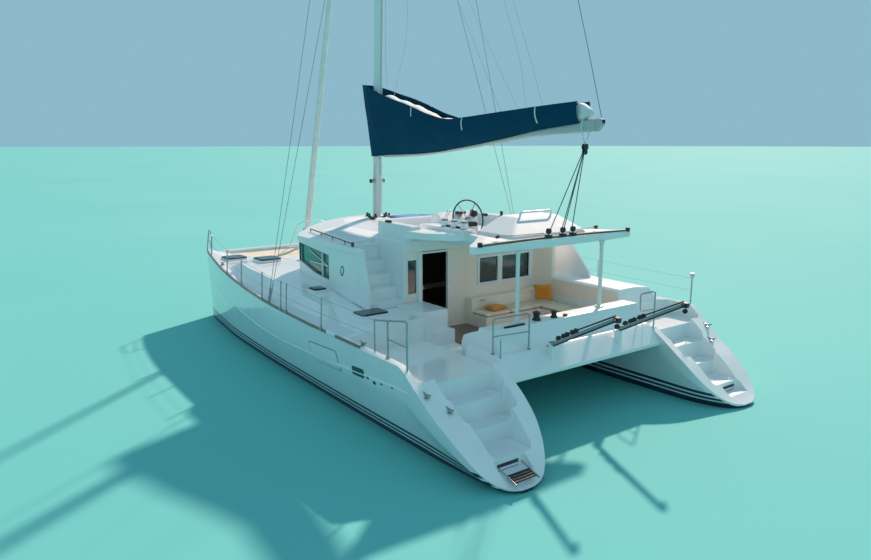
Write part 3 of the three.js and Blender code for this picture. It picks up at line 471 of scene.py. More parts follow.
def bar(x, y, z):
    """A box from (low, high) pairs."""
    verts = [(x[i], y[j], z[k]) for i in (0, 1) for j in (0, 1) for k in (0, 1)]
    faces = [(0, 1, 3, 2), (4, 6, 7, 5), (0, 4, 5, 1), (2, 3, 7, 6), (0, 2, 6, 4), (1, 5, 7, 3)]
    return verts, faces


def turned(profile, centre, axis=(0, 0, 1), sides=20):
    """A lathe shape. profile is a list of (radius, height) along axis from centre."""
    axis = Vector(axis).normalized()
    start = Vector((1, 0, 0)) if abs(axis.x) < 0.9 else Vector((0, 1, 0))
    u = (start - axis * start.dot(axis)).normalized()
    v = axis.cross(u)
    rings = []
    for radius, height in profile:
        r = max(radius, 0.0003)
        middle = Vector(centre) + axis * height
        rings.append([middle + (u * math.cos(a) + v * math.sin(a)) * r for a in turns(sides)])
    return ring_grid(rings)


def mirror(part, side):
    if side > 0:
        return part
    verts, faces = part
    return [(v[0], -v[1], v[2]) for v in verts], [tuple(reversed(f)) for f in faces]


def mirrored(parts, side):
    return [mirror(part, side) for part in parts]


def piece(name, parts, material, body="boat", bevel=0.0, angle=35, segments=2, replaces=()):
    obj = joined(name, parts)
    finish_piece(obj, material, body, bevel, angle, segments)
    if replaces:
        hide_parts(*replaces)
    return obj


def applied(obj):
    """Turns an object's modifiers into its mesh."""
    graph = bpy.context.evaluated_depsgraph_get()
    graph.update()
    mesh = bpy.data.meshes.new_from_object(obj.evaluated_get(graph))
    obj.modifiers.clear()
    obj.data = mesh
    return obj


def thickened(obj, thickness):
    solid = obj.modifiers.new("thickness", "SOLIDIFY")
    solid.thickness, solid.offset = thickness, 0
    return applied(obj)


def cut_away(obj, parts):
    cutter = joined("cutter", parts)
    face_outwards(cutter.data)
    modifier = obj.modifiers.new("cut", "BOOLEAN")
    modifier.object = cutter
    modifier.solver = "EXACT"
    modifier.use_self = True
    applied(obj)
    bpy.data.objects.remove(cutter)
    return obj


def tree_of(obj):
    graph = bpy.context.evaluated_depsgraph_get()
    graph.update()
    return BVHTree.FromObject(obj, graph)


def rounded_outline(corners, radius, steps=5):
    """A closed 2-D outline with its corners rounded."""
    out = []
    count = len(corners)
    for i in range(count):
        p = Vector(corners[i]).to_2d()
        a = Vector(corners[i - 1]).to_2d() - p
        b = Vector(corners[(i + 1) % count]).to_2d() - p
        reach = min(radius, a.length * 0.45, b.length * 0.45)
        start, end = p + a.normalized() * reach, p + b.normalized() * reach
        for s in range(steps + 1):
            t = s / steps
            out.append(start.lerp(p, t).lerp(p.lerp(end, t), t))
    return out


def inside_outline(point, outline):
    x, y = point
    hit = False
    for i in range(len(outline)):
        (xa, ya), (xb, yb) = outline[i - 1], outline[i]
        if (ya > y) != (yb > y) and x < (xb - xa) * (y - ya) / (yb - ya) + xa:
            hit = not hit
    return hit


def laid_panel(name, corners, trees, material, lift=0.003, radius=0.08, pitch=0.12, down=(0, 0, -1)):
    """A thin panel with rounded corners that clings to what is met along down.

    The corners are (x, y), or (x, z) when down points along y.
    """
    down = Vector(down)
    level = down.z != 0
    outline = [tuple(p) for p in rounded_outline(corners, radius)]
    dense = []
    for i in range(len(outline)):
        a, b = Vector(outline[i - 1]), Vector(outline[i])
        parts = max(1, int((b - a).length / pitch))
        dense.extend(a.lerp(b, (s + 1) / parts) for s in range(parts))
    xs, ys = [p.x for p in dense], [p.y for p in dense]
    inner = []
    for i in range(int((max(xs) - min(xs)) / pitch) + 1):
        for j in range(int((max(ys) - min(ys)) / pitch) + 1):
            point = (min(xs) + (i + 0.5) * pitch, min(ys) + (j + 0.5) * pitch)
            if inside_outline(point, outline):
                inner.append(Vector(point))
    edges = [(i, (i + 1) % len(dense)) for i in range(len(dense))]
    verts, _, faces, *_ = delaunay_2d_cdt(dense + inner, edges, [], 1, 1e-5)
    spots = []
    for v in verts:
        start = Vector((v.x, v.y, 0)) if level else Vector((v.x, 0, v.y))
        hits = [tree.ray_cast(start - down * 6, down) for tree in trees]
        hits = [hit for hit in hits if hit[0] is not None]
        spots.append(min(hits, key=lambda hit: hit[3])[0] - down * lift if hits else start)
    under = [p + down * (lift + 0.002) for p in spots]
    count = len(spots)
    skins = [tuple(f) for f in faces] + [tuple(i + count for i in reversed(f)) for f in faces]
    seen = {(f[i - 1], f[i]) for f in faces for i in range(len(f))}
    walls = [(b, a, a + count, b + count) for a, b in seen if (b, a) not in seen]
    obj = new_object(name, spots + under, skins + walls)
    return finish_piece(obj, material, angle=50)


def plate(corners, radius, low, high):
    """A flat plate with rounded corners in plan."""
    ring = rounded_outline(corners, radius)
    return ring_grid([[(p.x, p.y, z) for p in ring] for z in (low, high)])


def square(x, y, length, width):
    a, b = length / 2, width / 2
    return [(x + a, y - b), (x + a, y + b), (x - a, y + b), (x - a, y - b)]


def rim(x, y, length, width, radius, wide, low, high):
    """A rectangular frame with rounded corners in plan, wide measured inwards."""
    outer = rounded_outline(square(x, y, length, width), radius)
    inner = rounded_outline(square(x, y, length - 2 * wide, width - 2 * wide), max(radius - wide, 0.01))
    rings = [(outer, low), (outer, high), (inner, high), (inner, low), (outer, low)]
    return ring_grid([[(p.x, p.y, z) for p in ring] for ring, z in rings], closed_ends=False)


def border(corners, wide, low, high):
    """A frame round any convex outline in plan, wide measured towards its middle."""
    points = [Vector(c) for c in corners]
    centre = sum(points, Vector((0, 0))) / len(points)
    inner = [p + (centre - p).normalized() * wide * 1.3 for p in points]
    rings = [(points, low), (points, high), (inner, high), (inner, low), (points, low)]
    return ring_grid([[(p.x, p.y, z) for p in ring] for ring, z in rings], closed_ends=False)


# Orders of the axes that stand a part drawn in plan on a wall across x or across y
ACROSS_X, ACROSS_Y = (2, 0, 1), (0, 2, 1)


def stood(part, order):
    verts, faces = part
    return [tuple(v[i] for i in order) for v in verts], faces


def dress(node, material, bevel=0.012, angle=30, segments=2):
    """Gives a CAD node its material and soft edges; its shape stays."""
    obj = nodes[node]
    obj.data.materials.clear()
    obj.data.materials.append(MATERIALS[material])
    obj.data.polygons.foreach_set("use_smooth", [True] * len(obj.data.polygons))
    if bevel:
        round_edges(obj, bevel, angle, segments, weld=True)
    return obj


# Hulls. Columns: x at deck, x at keel, sheer y, z, foot of trunk y, z, top of trunk y, z,
# inner deck y, z, waterline outer y, inner y, keel z
STATIONS = np.array([
    [6.84, 6.60, 2.975, 1.940, 2.960, 1.942, 2.945, 1.943, 2.905, 1.940, 2.955, 2.925, -0.06],
    [6.20, 6.10, 3.150, 1.925, 3.080, 1.930, 3.000, 1.935, 2.720, 1.930, 3.060, 2.810, -0.34],
    [4.70, 4.70, 3.440, 1.850, 3.290, 1.870, 3.120, 1.885, 2.200, 1.900, 3.210, 2.560, -0.54],
    [4.15, 4.15, 3.530, 1.815, 3.330, 1.835, 3.150, 1.900, 2.000, 1.960, 3.270, 2.420, -0.59],
    [3.30, 3.30, 3.640, 1.760, 3.440, 1.780, 3.230, 2.010, 2.000, 2.050, 3.320, 2.290, -0.63],
    [2.30, 2.30, 3.730, 1.700, 3.560, 1.715, 3.340, 2.010, 2.000, 2.050, 3.350, 2.200, -0.65],
    [1.20, 1.20, 3.810, 1.645, 3.560, 1.660, 3.330, 1.960, 2.000, 2.050, 3.370, 2.150, -0.66],
    [0.00, 0.00, 3.850, 1.600, 3.500, 1.625, 3.280, 1.850, 2.000, 1.960, 3.380, 2.130, -0.66],
    [-1.00, -1.00, 3.850, 1.570, 3.450, 1.600, 3.200, 1.740, 2.000, 1.800, 3.380, 2.130, -0.66],
    [-1.80, -1.80, 3.850, 1.555, 3.400, 1.600, 3.100, 1.690, 2.000, 1.710, 3.380, 2.130, -0.66],
    [-3.00, -3.00, 3.850, 1.555, 3.400, 1.600, 3.000, 1.690, 2.000, 1.710, 3.375, 2.140, -0.60],
    [-4.76, -4.76, 3.830, 1.555, 3.600, 1.560, 3.300, 1.565, 2.000, 1.560, 3.360, 2.170, -0.42],
    [-5.24, -5.24, 3.790, 1.235, 3.620, 1.245, 3.300, 1.270, 2.000, 1.310, 3.350, 2.190, -0.35],
    [-5.62, -5.62, 3.745, 0.930, 3.560, 0.940, 3.250, 0.960, 2.000, 1.060, 3.330, 2.210, -0.29],
    [-6.00, -6.00, 3.690, 0.690, 3.500, 0.695, 3.200, 0.705, 2.035, 0.770, 3.300, 2.250, -0.22],
    [-6.30, -6.30, 3.610, 0.460, 3.430, 0.460, 3.150, 0.462, 2.130, 0.490, 3.260, 2.330, -0.16],
    [-6.50, -6.50, 3.510, 0.290, 3.360, 0.290, 3.100, 0.290, 2.255, 0.305, 3.200, 2.420, -0.12],
    [-6.65, -6.65, 3.385, 0.175, 3.260, 0.175, 3.060, 0.175, 2.395, 0.180, 3.130, 2.520, -0.09],
    [-6.76, -6.76, 3.220, 0.105, 3.130, 0.105, 3.000, 0.105, 2.550, 0.108, 3.050, 2.640, -0.065],
    [-6.83, -6.83, 3.030, 0.072, 2.990, 0.072, 2.940, 0.072, 2.770, 0.072, 2.970, 2.820, -0.05],
])
KNUCKLE = 0.66
KEEL_FLAT = 0.16
WET_DECK_Z = 0.95
AFT_DECK_Z = 1.25
SIDES = (("port", 1), ("starboard", -1))
UP = Vector((0, 0, 1))


def eased(xs, ys, at):
    """Monotone cubic through a table, so that a fair line never overshoots it."""
    order = np.argsort(xs)
    x, y = np.asarray(xs, float)[order], np.asarray(ys, float)[order]
    step, slope = np.diff(x), np.diff(y) / np.diff(x)
    m = np.zeros(len(x))
    for i in range(1, len(x) - 1):
        if slope[i - 1] * slope[i] > 0:
            w1, w2 = 2 * step[i] + step[i - 1], step[i] + 2 * step[i - 1]
            m[i] = (w1 + w2) / (w1 / slope[i - 1] + w2 / slope[i])
    m[0], m[-1] = slope[0], slope[-1]
    at = np.clip(at, x[0], x[-1])
    i = np.clip(np.searchsorted(x, at) - 1, 0, len(x) - 2)
    t = (at - x[i]) / step[i]
    return (
        (2 * t**3 - 3 * t**2 + 1) * y[i] + (t**3 - 2 * t**2 + t) * step[i] * m[i]
        + (-2 * t**3 + 3 * t**2) * y[i + 1] + (t**3 - t**2) * step[i] * m[i + 1]
    )


def looked_up(table, column, x):
    """One column at x, along a fair line through a table with x first."""
    return float(eased([row[0] for row in table], [row[column] for row in table], x))


def station(x):
    """The table's columns at one x of the deck."""
    return [looked_up(STATIONS, column, x) for column in range(1, STATIONS.shape[1])]


def sheer(x):
    """Half width and height of the deck edge."""
    return station(x)[1:3]


def hull_ring(x):
    keel_x, sheer_y, sheer_z, foot_y, foot_z, top_y, top_z, in_y, in_z, out_y, inner_y, keel_z = station(x)
    middle, half = (out_y + inner_y) / 2, (out_y - inner_y) / 2
    knuckle_z = sheer_z * KNUCKLE
    inner_knuckle = min(WET_DECK_Z, in_z * 0.75)
    soft = [
        (out_y + (sheer_y - out_y) * 0.88, knuckle_z),
        (out_y + (sheer_y - out_y) * 0.4, knuckle_z * 0.45),
        (out_y, 0),
        (middle + half * 0.86, keel_z * 0.45),
        (middle + half * 0.56, keel_z * 0.83),
        (middle + half * KEEL_FLAT, keel_z),
        (middle - half * KEEL_FLAT, keel_z),
        (middle - half * 0.56, keel_z * 0.83),
        (middle - half * 0.86, keel_z * 0.45),
        (inner_y, 0),
        (inner_y + (in_y - inner_y) * 0.55, inner_knuckle * 0.5),
        (in_y, inner_knuckle),
    ]
    fair = [(p.x, p.y) for p in curve_points([(a, b, 0) for a, b in soft], 4)]
    side = [(sheer_y, sheer_z), (sheer_y * 0.66 + soft[0][0] * 0.34, sheer_z * 0.66 + knuckle_z * 0.34)]
    deck = [(in_y, in_z), ((in_y + top_y) / 2, (in_z + top_z) / 2), (top_y, top_z), (foot_y, foot_z)]
    rise = sheer_z - keel_z
    ring = []
    for y, z in side + fair + deck:
        part = min(1, max(0, (z - keel_z) / rise))
        ring.append(Vector((keel_x + (x - keel_x) * part, y, z)))
    return ring


# A hatch's well is smaller than its lid by this, and is cut from so far below its frame's top to so far above
LID_MARGIN, WELL_DEPTH, WELL_TOP = 0.11, 0.16, 0.4
# The hull's rings: from x, to x, count
HULL_RUNS = ((6.84, 6.2, 10), (6.05, -4.4, 60), (-4.5, -6.83, 44))


def well(corners, low, high, radius, flare):
    """A cutter with rounded corners in plan that widens upwards."""
    centre = sum((Vector(c) for c in corners), Vector((0, 0))) / len(corners)
    rings = []
    for z in (low, high):
        grow = (z - low) * flare
        ring = []
        for p in rounded_outline(corners, radius, 6):
            out = p - centre
            ring.append(Vector((p.x + math.copysign(grow, out.x) * 0.2, p.y + math.copysign(grow, out.y), z)))
        rings.append(ring)
    return ring_grid(rings)


# Transom steps. Columns: forward edge x, aft edge x, inner y, outer y, tread z
STEPS = [
    [-5.135, -5.50, 2.19, 3.34, 0.95],
    [-5.50, -5.85, 2.23, 3.27, 0.64],
    [-5.85, -6.40, 2.40, 3.19, 0.37],
    [-6.40, -6.68, 2.60, 3.20, 0.19],
]
# Columns: name, centre x, y, length x, width y, top of frame z
HATCHES = [
    ("forepeak_hatch", 4.95, 2.83, 0.56, 0.56, 1.93),
    ("forward_cabin_hatch", 3.30, 2.56, 0.56, 0.56, 2.09),
    ("midship_hatch", -0.18, 2.89, 0.34, 0.30, 1.915),
    ("aft_cabin_hatch", -2.165, 2.745, 0.43, 0.59, 1.75),
]


def hatches_on(side):
    return HATCHES if side > 0 else HATCHES[:3]


def deck_wells(side):
    """Cutters for the aft deck and its steps, and for the hatches."""
    front = -2.95 if side > 0 else -4.30
    corners = [(front, 1.6), (front, 3.69), (-5.136, 3.69), (-5.136, 1.6)]
    cutters = [well(corners, AFT_DECK_Z, 2.6, 0.10, 0.04)]
    for fore, aft, inner, outer, z in STEPS:
        # Each cut overlaps the one ahead of it
        fore += 0.02
        cutters.append(well([(fore, inner), (fore, outer), (aft, outer), (aft, inner)], z, 1.9, 0.11, 0.10))
    for _, x, y, length, width, top in hatches_on(side):
        opening = square(x, y, length - LID_MARGIN, width - LID_MARGIN)
        cutters.append(well(opening, top - WELL_DEPTH, top + WELL_TOP, 0.05, 0))
    return cutters


def hull_piece(label, side):
    xs = np.concatenate([np.linspace(*run) for run in HULL_RUNS])
    obj = joined("hull", [ring_grid([hull_ring(x) for x in xs])])
    cut_away(obj, deck_wells(side))
    if side < 0:
        obj.data.transform(Matrix.Scale(-1, 4, (0, 1, 0)))
    obj.name = f"{label}_hull_shell"
    finish_piece(obj, "topsides", bevel=0.016, angle=28, segments=3)
    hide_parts(f"{label}_hull")
    return obj


hull_shells = {label: hull_piece(label, side) for label, side in SIDES}
hull_trees = {label: tree_of(obj) for label, obj in hull_shells.items()}


def tube(points, radius, bend=0.0, sides=10):
    return sweep(rounded_bend(points, bend) if bend else points, radius, sides)


# Deck hatches: a moulded frame on the hull, a lid on its own hinges
HINGE_RADIUS = 0.006
for label, side in SIDES:
    frames, hinges = [], []
    for name, x, y, length, width, top in hatches_on(side):
        frames.append(rim(x, y, length + 0.03, width + 0.03, 0.08, 0.07, top - 0.28, top))
        body, z = f"{label}_{name}_lid", top + 0.005
        lid = [plate(square(x, y, length, width), 0.07, z, z + 0.019)]
        aft, pin = x - length / 2, x + length / 2 + 0.010
        for beside in (y - 0.3 * width, y + 0.3 * width):
            lid.append(bar((aft + 0.004, aft + 0.03), (beside - 0.02, beside + 0.02), (z + 0.012, z + 0.03)))
            barrel = [(pin, beside - 0.03, top - 0.003), (pin, beside + 0.03, top - 0.003)]
            hinges.append(tube(barrel, HINGE_RADIUS))
        piece(f"{body}_frame", mirrored(lid, side), "black", body, bevel=0.004, replaces=(f"{label}_{name}",))
        pane = plate(square(x, y, length - 0.05, width - 0.05), 0.055, z + 0.017, z + 0.026)
        piece(f"{body}_pane", [mirror(pane, side)], "smoked", body, bevel=0.003)
    piece(f"{label}_hatch_frames", mirrored(frames, side), "gelcoat", bevel=0.012)
    piece(f"{label}_hatch_hinges", mirrored(hinges, side), "steel")

# Toe rails, stanchions, lifelines and pulpits
POSTS = [3.40, 2.15, 0.70, -0.33, -0.60, -2.15]
POST_HEIGHT = 0.62
POST_RADIUS = 0.0135
POST_BASE = [(0.034, -0.02), (0.034, 0.03), (0.019, 0.036), (0.019, 0.09)]
POST_CAP = [(0.0, 0.008), (0.016, 0.006), (0.016, -0.012)]
WIRE_RADIUS = 0.0035
# Part of a stanchion's height at which each lifeline runs
WIRE_LEVELS = (0.985, 0.52)
RAIL_Y = 3.74
PULPIT_CORNER = Vector((5.75, 3.15, 2.48))
STRIP_EDGE = [(-0.017, -0.018), (-0.012, 0.017), (0.012, 0.017), (0.017, -0.018)]


def on_edge(x, lift=0.0):
    """A point just inside the deck edge."""
    y, z = sheer(x)
    return Vector((x, y - 0.03, z + lift))


for label, side in SIDES:
    line = [(x, sheer(x)[0] - 0.028, sheer(x)[1] + 0.032) for x in np.linspace(6.7, -3.6, 60)]
    strip = mirror(sweep(line, 0, profile=STRIP_EDGE), side)
    piece(f"{label}_rail_strip", [strip], "teak", bevel=0.004, replaces=(f"{label}_toe_rail",))
    tubes, tops = [], [PULPIT_CORNER]
    for x in POSTS:
        foot = on_edge(x, 0.03)
        head = foot + Vector((0, -0.03, POST_HEIGHT - 0.03))
        tubes.append(tube([foot, head], POST_RADIUS))
        tubes += [turned(POST_CAP, head, sides=12), turned(POST_BASE, foot, sides=14)]
        tops.append(head)
    last = Vector((-3.96 if side > 0 else -4.85, RAIL_Y, 2.13))
    tops.append(last)
    feet = [on_edge(5.62), *(on_edge(x) for x in POSTS), Vector((last.x, RAIL_Y, 1.56))]
    spans = list(zip(feet, tops))
    wires = [sweep([foot.lerp(top, part) for foot, top in spans], WIRE_RADIUS, 6) for part in WIRE_LEVELS]
    bow_foot = on_edge(6.5, 0.03) + Vector((0.06, 0, 0))
    tubes.append(tube([on_edge(5.6, 0.02), PULPIT_CORNER, (6.55, 2.96, 2.56), bow_foot], 0.016, 0.14, 12))
    tubes.append(tube([(5.68, 3.22, 2.18), (6.55, 2.955, 2.24)], 0.012))
    piece(f"{label}_stanchions", mirrored(tubes, side), "steel", angle=50)
    piece(f"{label}_lifelines", mirrored(wires, side), "steel", angle=80)

# Stern rails
RAILS = {
    "port_aft_rail": [(-4.37, 3.74, 1.575), (-4.37, 3.74, 2.19), (-4.93, 3.74, 2.29), (-4.93, 3.74, 1.455)],
    "starboard_aft_rail": [],
    "port_deck_rail": [(-4.90, 1.96, 1.44), (-4.90, 1.96, 2.06), (-5.04, 1.25, 2.09), (-5.04, 1.25, 1.44)],
    "starboard_deck_rail": [
        (-4.82, -2.06, 1.25), (-4.82, -2.06, 1.98), (-5.17, -2.06, 2.10), (-5.17, -2.06, 1.36),
    ],
}


def foot_ring(at, drop=0.004):
    """A flange round the foot of a rail."""
    return turned([(0.036, -drop), (0.036, 0.014), (0.018, 0.02)], at, sides=14)


for name, corners in RAILS.items():
    parts = []
    if corners:
        a, b, c, d = (Vector(p) for p in corners)
        parts.append(tube([a, b, c, d], 0.0155, 0.07, 12))
        parts.append(tube([a.lerp(b, 0.5), d.lerp(c, 0.5)], 0.011))
        parts += [foot_ring(a), foot_ring(d)]
    if name == "port_aft_rail":
        parts.append(tube([(-3.96, RAIL_Y, 1.57), (-3.96, RAIL_Y, 2.13)], POST_RADIUS))
        parts.append(tube([(-3.96, RAIL_Y, 2.12), (-4.42, RAIL_Y, 2.195)], 0.0145))
        parts.append(tube([(-5.10, 1.96, 1.38), (-5.10, 1.96, 1.74)], 0.013))
    if name == "starboard_aft_rail":
        parts.append(tube([(-4.85, -RAIL_Y, 1.50), (-4.85, -RAIL_Y, 2.16)], 0.015))
        parts.append(foot_ring((-4.85, -RAIL_Y, 1.52), 0.01))
        lamp = plate(square(-4.85, -RAIL_Y, 0.08, 0.07), 0.015, 2.15, 2.24)
        piece("stern_light", [lamp], "aluminium", bevel=0.006)
    piece(f"{name}_tubes", parts, "steel", angle=50, replaces=(name,))

# Hardtop posts
POST_FOOT = Vector((-4.56, 1.107, 1.79))
POST_TOP = Vector((-4.56, 1.107, 3.135))
POST_TUBE = 0.036
LOWER_FLANGE = [(0.085, -0.03), (0.085, 0.02), (0.045, 0.03), (0.038, 0.12)]
UPPER_FLANGE = [(0.038, -0.10), (0.05, -0.02), (0.07, 0.0)]
for label, side in SIDES:
    post = [tube([POST_FOOT, POST_TOP], POST_TUBE, sides=18)]
    post.append(turned(LOWER_FLANGE, POST_FOOT + UP * 0.02, sides=20))
    post.append(turned(UPPER_FLANGE, POST_TOP - UP * 0.012, sides=20))
    piece(f"{label}_roof_post", mirrored(post, side), "spar", angle=50, replaces=(f"{label}_hardtop_post",))

# Topsides: the moulded knuckle, the hull window, the portlight and small vents
KNUCKLE_LINE = [(-4.6, 1.16), (0.3, 0.92), (3.0, 1.08), (5.6, 1.34)]
KNUCKLE_LIP = [(-0.012, -0.022), (0.010, -0.018), (0.004, 0.022), (-0.012, 0.024)]
# Columns: name, corners as (x, z), material, lift, corner radius, mesh pitch
HULL_PANELS = [
    ("window_edge", [(-1.74, 0.85), (-1.60, 1.24), (-2.72, 1.30), (-2.81, 0.92)], "black", 0.002, 0.06, 0.1),
    ("hull_window", [(-1.758, 0.863), (-1.625, 1.228), (-2.703, 1.286), (-2.792, 0.933)],
     "gelcoat", 0.006, 0.05, 0.1),
    ("portlight", [(-3.27, 1.01), (-3.27, 1.175), (-3.69, 1.20), (-3.68, 1.03)],
     "dark_glass", 0.005, 0.06, 0.08),
]
# Columns: x, z, height
OUTLETS = [(-3.80, 1.09, 0.05), (-4.01, 1.05, 0.05), (-4.23, 1.09, 0.03), (-4.56, 1.12, 0.028)]
for label, side in SIDES:
    tree, inward = hull_trees[label], (0, -side, 0)
    knuckle = []
    for x in np.linspace(5.6, -5.0, 60):
        z = looked_up(KNUCKLE_LINE, 1, x)
        hit = tree.ray_cast(Vector((x, 6 * side, z)), Vector(inward))
        knuckle.append((x, abs(hit[0].y) - 0.002, z))
    lip = mirror(sweep(knuckle, 0, profile=KNUCKLE_LIP), side)
    piece(f"{label}_knuckle", [lip], "gelcoat", bevel=0.004)
    for name, corners, *settings in HULL_PANELS:
        laid_panel(f"{label}_{name}", corners, [tree], *settings, down=inward)
    for i, (x, z, size) in enumerate(OUTLETS):
        outlet = square(x, z, size * 1.6, size)
        laid_panel(f"{label}_outlet_{i}", outlet, [tree], "black", 0.006, 0.012, 0.05, down=inward)

# Deckhouse windows, vents and rails
SIDE_WINDOW = [(-0.17, 2.08), (0.48, 2.14), (1.28, 2.33), (1.28, 2.745), (-0.17, 2.62)]
ROOF_EDGE_Z, ROOF_CROWN, ROOF_HALF = 2.90, 0.22, 2.63
ROOF_RAIL = [(1.40, 2.24), (0.70, 2.32), (0.0, 2.40), (-0.70, 2.48), (-1.10, 2.52)]
VENT = [(0.082, 0.0), (0.082, 0.012), (0.066, 0.018), (0.062, 0.010), (0.0, 0.010)]


def roof_z(y):
    return ROOF_EDGE_Z + ROOF_CROWN * (1 - (y / ROOF_HALF) ** 2)


def tilted_vent():
    """An oval vent on the deckhouse side, its forward end lower."""
    verts, faces = turned(VENT, (0, 0, 0), (0, 1, 0), 28)
    return [(x - 0.77, y + 2.59, z * 1.3 + 2.36 - 0.35 * x) for x, y, z in verts], faces


for label, side in SIDES:
    gasket = stood(border(SIDE_WINDOW, 0.009, 2.575, 2.601), ACROSS_Y)
    piece(f"{label}_window_gasket", [mirror(gasket, side)], "black", bevel=0.003)
    bars = [bar((0.145, 0.185), (2.551, 2.590), (2.10, 2.66))]
    bars.append(bar((-0.17, 0.78), (2.551, 2.575), (2.352, 2.378)))
    bars.append(tube([(0.84, 2.563, 2.63), (-0.06, 2.563, 2.365)], 0.012))
    piece(f"{label}_window_bars", mirrored(bars, side), "spar", bevel=0.004)
    piece(f"{label}_vent", [mirror(tilted_vent(), side)], "smoked", angle=40)
    rail = [Vector((x, y, roof_z(y) + 0.055)) for x, y in ROOF_RAIL]
    parts = [sweep(curve_points(rail, 4), 0.013, 10)]
    parts += [tube([point, point - UP * 0.07], 0.011) for point in rail]
    parts.append(turned([(0.03, -0.06), (0.035, 0.0), (0.02, 0.03)], rail[-1], sides=12))
    piece(f"{label}_roof_rail", mirrored(parts, side), "track", angle=50)

# Saloon bulkhead
frames = [
    stood(rim(-0.94, 2.245, 1.60, 0.67, 0.05, 0.06, -1.925, -1.895), ACROSS_X),
    bar((-1.920, -1.872), (-0.86, -0.73), (1.95, 2.54)),
    stood(rim(1.59, 2.29, 0.28, 0.76, 0.03, 0.03, -1.915, -1.893), ACROSS_X),
    stood(rim(1.01, 1.96, 0.74, 1.66, 0.04, 0.04, -1.92, -1.893), ACROSS_X),
    bar((-1.94, -1.895), (1.375, 1.448), (1.14, 2.78)),
]
piece("bulkhead_frames", frames, "gelcoat", bevel=0.006)
side_pane = plate(square(1.59, 2.29, 0.22, 0.70), 0.02, -1.875, -1.867)
piece("side_pane", [stood(side_pane, ACROSS_X)], "dark_glass", bevel=0.001)
pull = [(-1.80, 0.60, 1.95), (-1.78, 0.60, 1.95), (-1.78, 0.60, 2.2), (-1.80, 0.60, 2.2)]
piece("door_pull", [tube(pull, 0.009, 0.02)], "steel", "sliding_door")

# What shows through the glass. Columns: name, x, y, z, material, bevel, its segments, replaced nodes
for name, x, y, z, material, bevel, segments, replaced in (
    ("galley", (-1.68, 0.88), (1.16, 1.71), (1.11, 1.955), "wood", 0.01, 2, ()),
    ("galley_top", (-1.70, 0.90), (1.14, 1.72), (1.955, 1.992), "cream", 0.008, 2, ("saloon_furniture",)),
    ("lounge", (0.30, 2.0), (-1.99, 1.30), (1.11, 1.42), "wood", 0.01, 2, ()),
    ("lounge_cushion", (0.31, 1.98), (-1.97, 1.28), (1.422, 1.56), "leather", 0.04, 4, ()),
    ("lounge_back", (0.305, 0.335), (-1.97, 1.22), (1.57, 2.62), "wood", 0.006, 2, ()),
    ("saloon_sole", (-1.82, 2.6), (-1.98, 1.98), (1.101, 1.106), "teak", 0.001, 2, ()),
):
    piece(name, [bar(x, y, z)], material, bevel=bevel, segments=segments, replaces=replaced)

# Cockpit
# A cream wall stands at the cockpit's forward starboard corner. The thin cream strip along the starboard
# coaming's inner face is a painted reflection of the tan cushions on that shaded face, not a lining.
wall_and_painted_reflection = [plate([(-1.905, -1.793), (-2.346, -2.004), (-2.346, -2.081), (-1.905, -1.871)], 0.006, 1.70, 3.119)]
wall_and_painted_reflection.append(bar((-4.25, -2.36), (-2.008, -1.994), (1.615, 1.925)))
piece("side_wall_and_painted_reflection", wall_and_painted_reflection, "cream", bevel=0.006)
strips = [plate(square(-4.73, 1.31, 0.06, 0.48), 0.02, 1.798, 1.825)]
strips.append(plate(square(-4.70, 0.0, 0.06, 0.08), 0.02, 1.79, 1.84))
piece("coaming_strip", strips, "black", bevel=0.006)
tray = [(0.0, 0.0), (0.13, 0.0), (0.17, 0.02), (0.175, 0.022), (0.135, 0.008), (0.0, 0.008)]
piece("tray", [turned(tray, (-1.99, -0.12, 1.612))], "black", angle=60)

# Winches, clutches and cleats
DRUM = [
    (0.080, 0.0), (0.080, 0.018), (0.062, 0.034), (0.053, 0.06), (0.056, 0.10), (0.068, 0.118),
    (0.068, 0.128),
]
CAP = [(0.066, 0.128), (0.067, 0.146), (0.05, 0.152), (0.026, 0.153), (0.022, 0.166), (0.0, 0.168)]
HELM_WINCHES = [(-2.92, 1.035, 3.34), (-2.60, 1.035, 3.34), (-2.28, 1.035, 3.34)]
# Columns: place, size
COAMING_WINCHES = [((-4.62, 0.67, 1.80), 1.05), ((-4.66, 0.26, 1.80), 0.85)]
CLEATS = [(-5.35, 3.66, 1.165), (-5.62, 3.42, 0.955), (-3.50, 3.70, 1.57), (4.40, 3.36, 1.86)]
CLUTCH_PITCH = 0.055


def winch(at, size=1.0):
    """The drum and cap of a sheet winch standing at a point."""
    return [turned([(r * size, h * size) for r, h in shape], at, sides=24) for shape in (DRUM, CAP)]


def cleat(at, size=0.20):
    """A horn cleat that lies along the boat."""
    at = Vector(at)
    legs = [(at + Vector((x, 0, 0)), at + Vector((x * 0.8, 0, 0.05))) for x in (-0.04, 0.04)]
    lifts = ((-0.5, 0.012), (-0.25, 0.0), (0.25, 0.0), (0.5, 0.012))
    horn = [at + Vector((part * size, 0, 0.052 + lift)) for part, lift in lifts]
    parts = [tube(leg, 0.014) for leg in legs]
    parts.append(sweep(curve_points(horn, 4), 0.013, 8))
    parts.append(turned([(0.05, -0.003), (0.05, 0.006), (0.03, 0.01)], at, sides=14))
    return parts


def block_at(at, size=0.045, axis=(0, 1, 0)):
    """A pulley block: two cheeks and a sheave."""
    at, axis = Vector(at), Vector(axis).normalized()
    cheek = [(size, 0.0), (size, size * 0.14), (size * 0.5, size * 0.2)]
    sheave = [(size * 0.8, -size * 0.34), (size * 0.6, 0), (size * 0.8, size * 0.34)]
    cheeks = [turned(cheek, at + axis * size * place, axis, 18) for place in (-0.5, 0.36)]
    return [*cheeks, turned(sheave, at, axis, 18)]


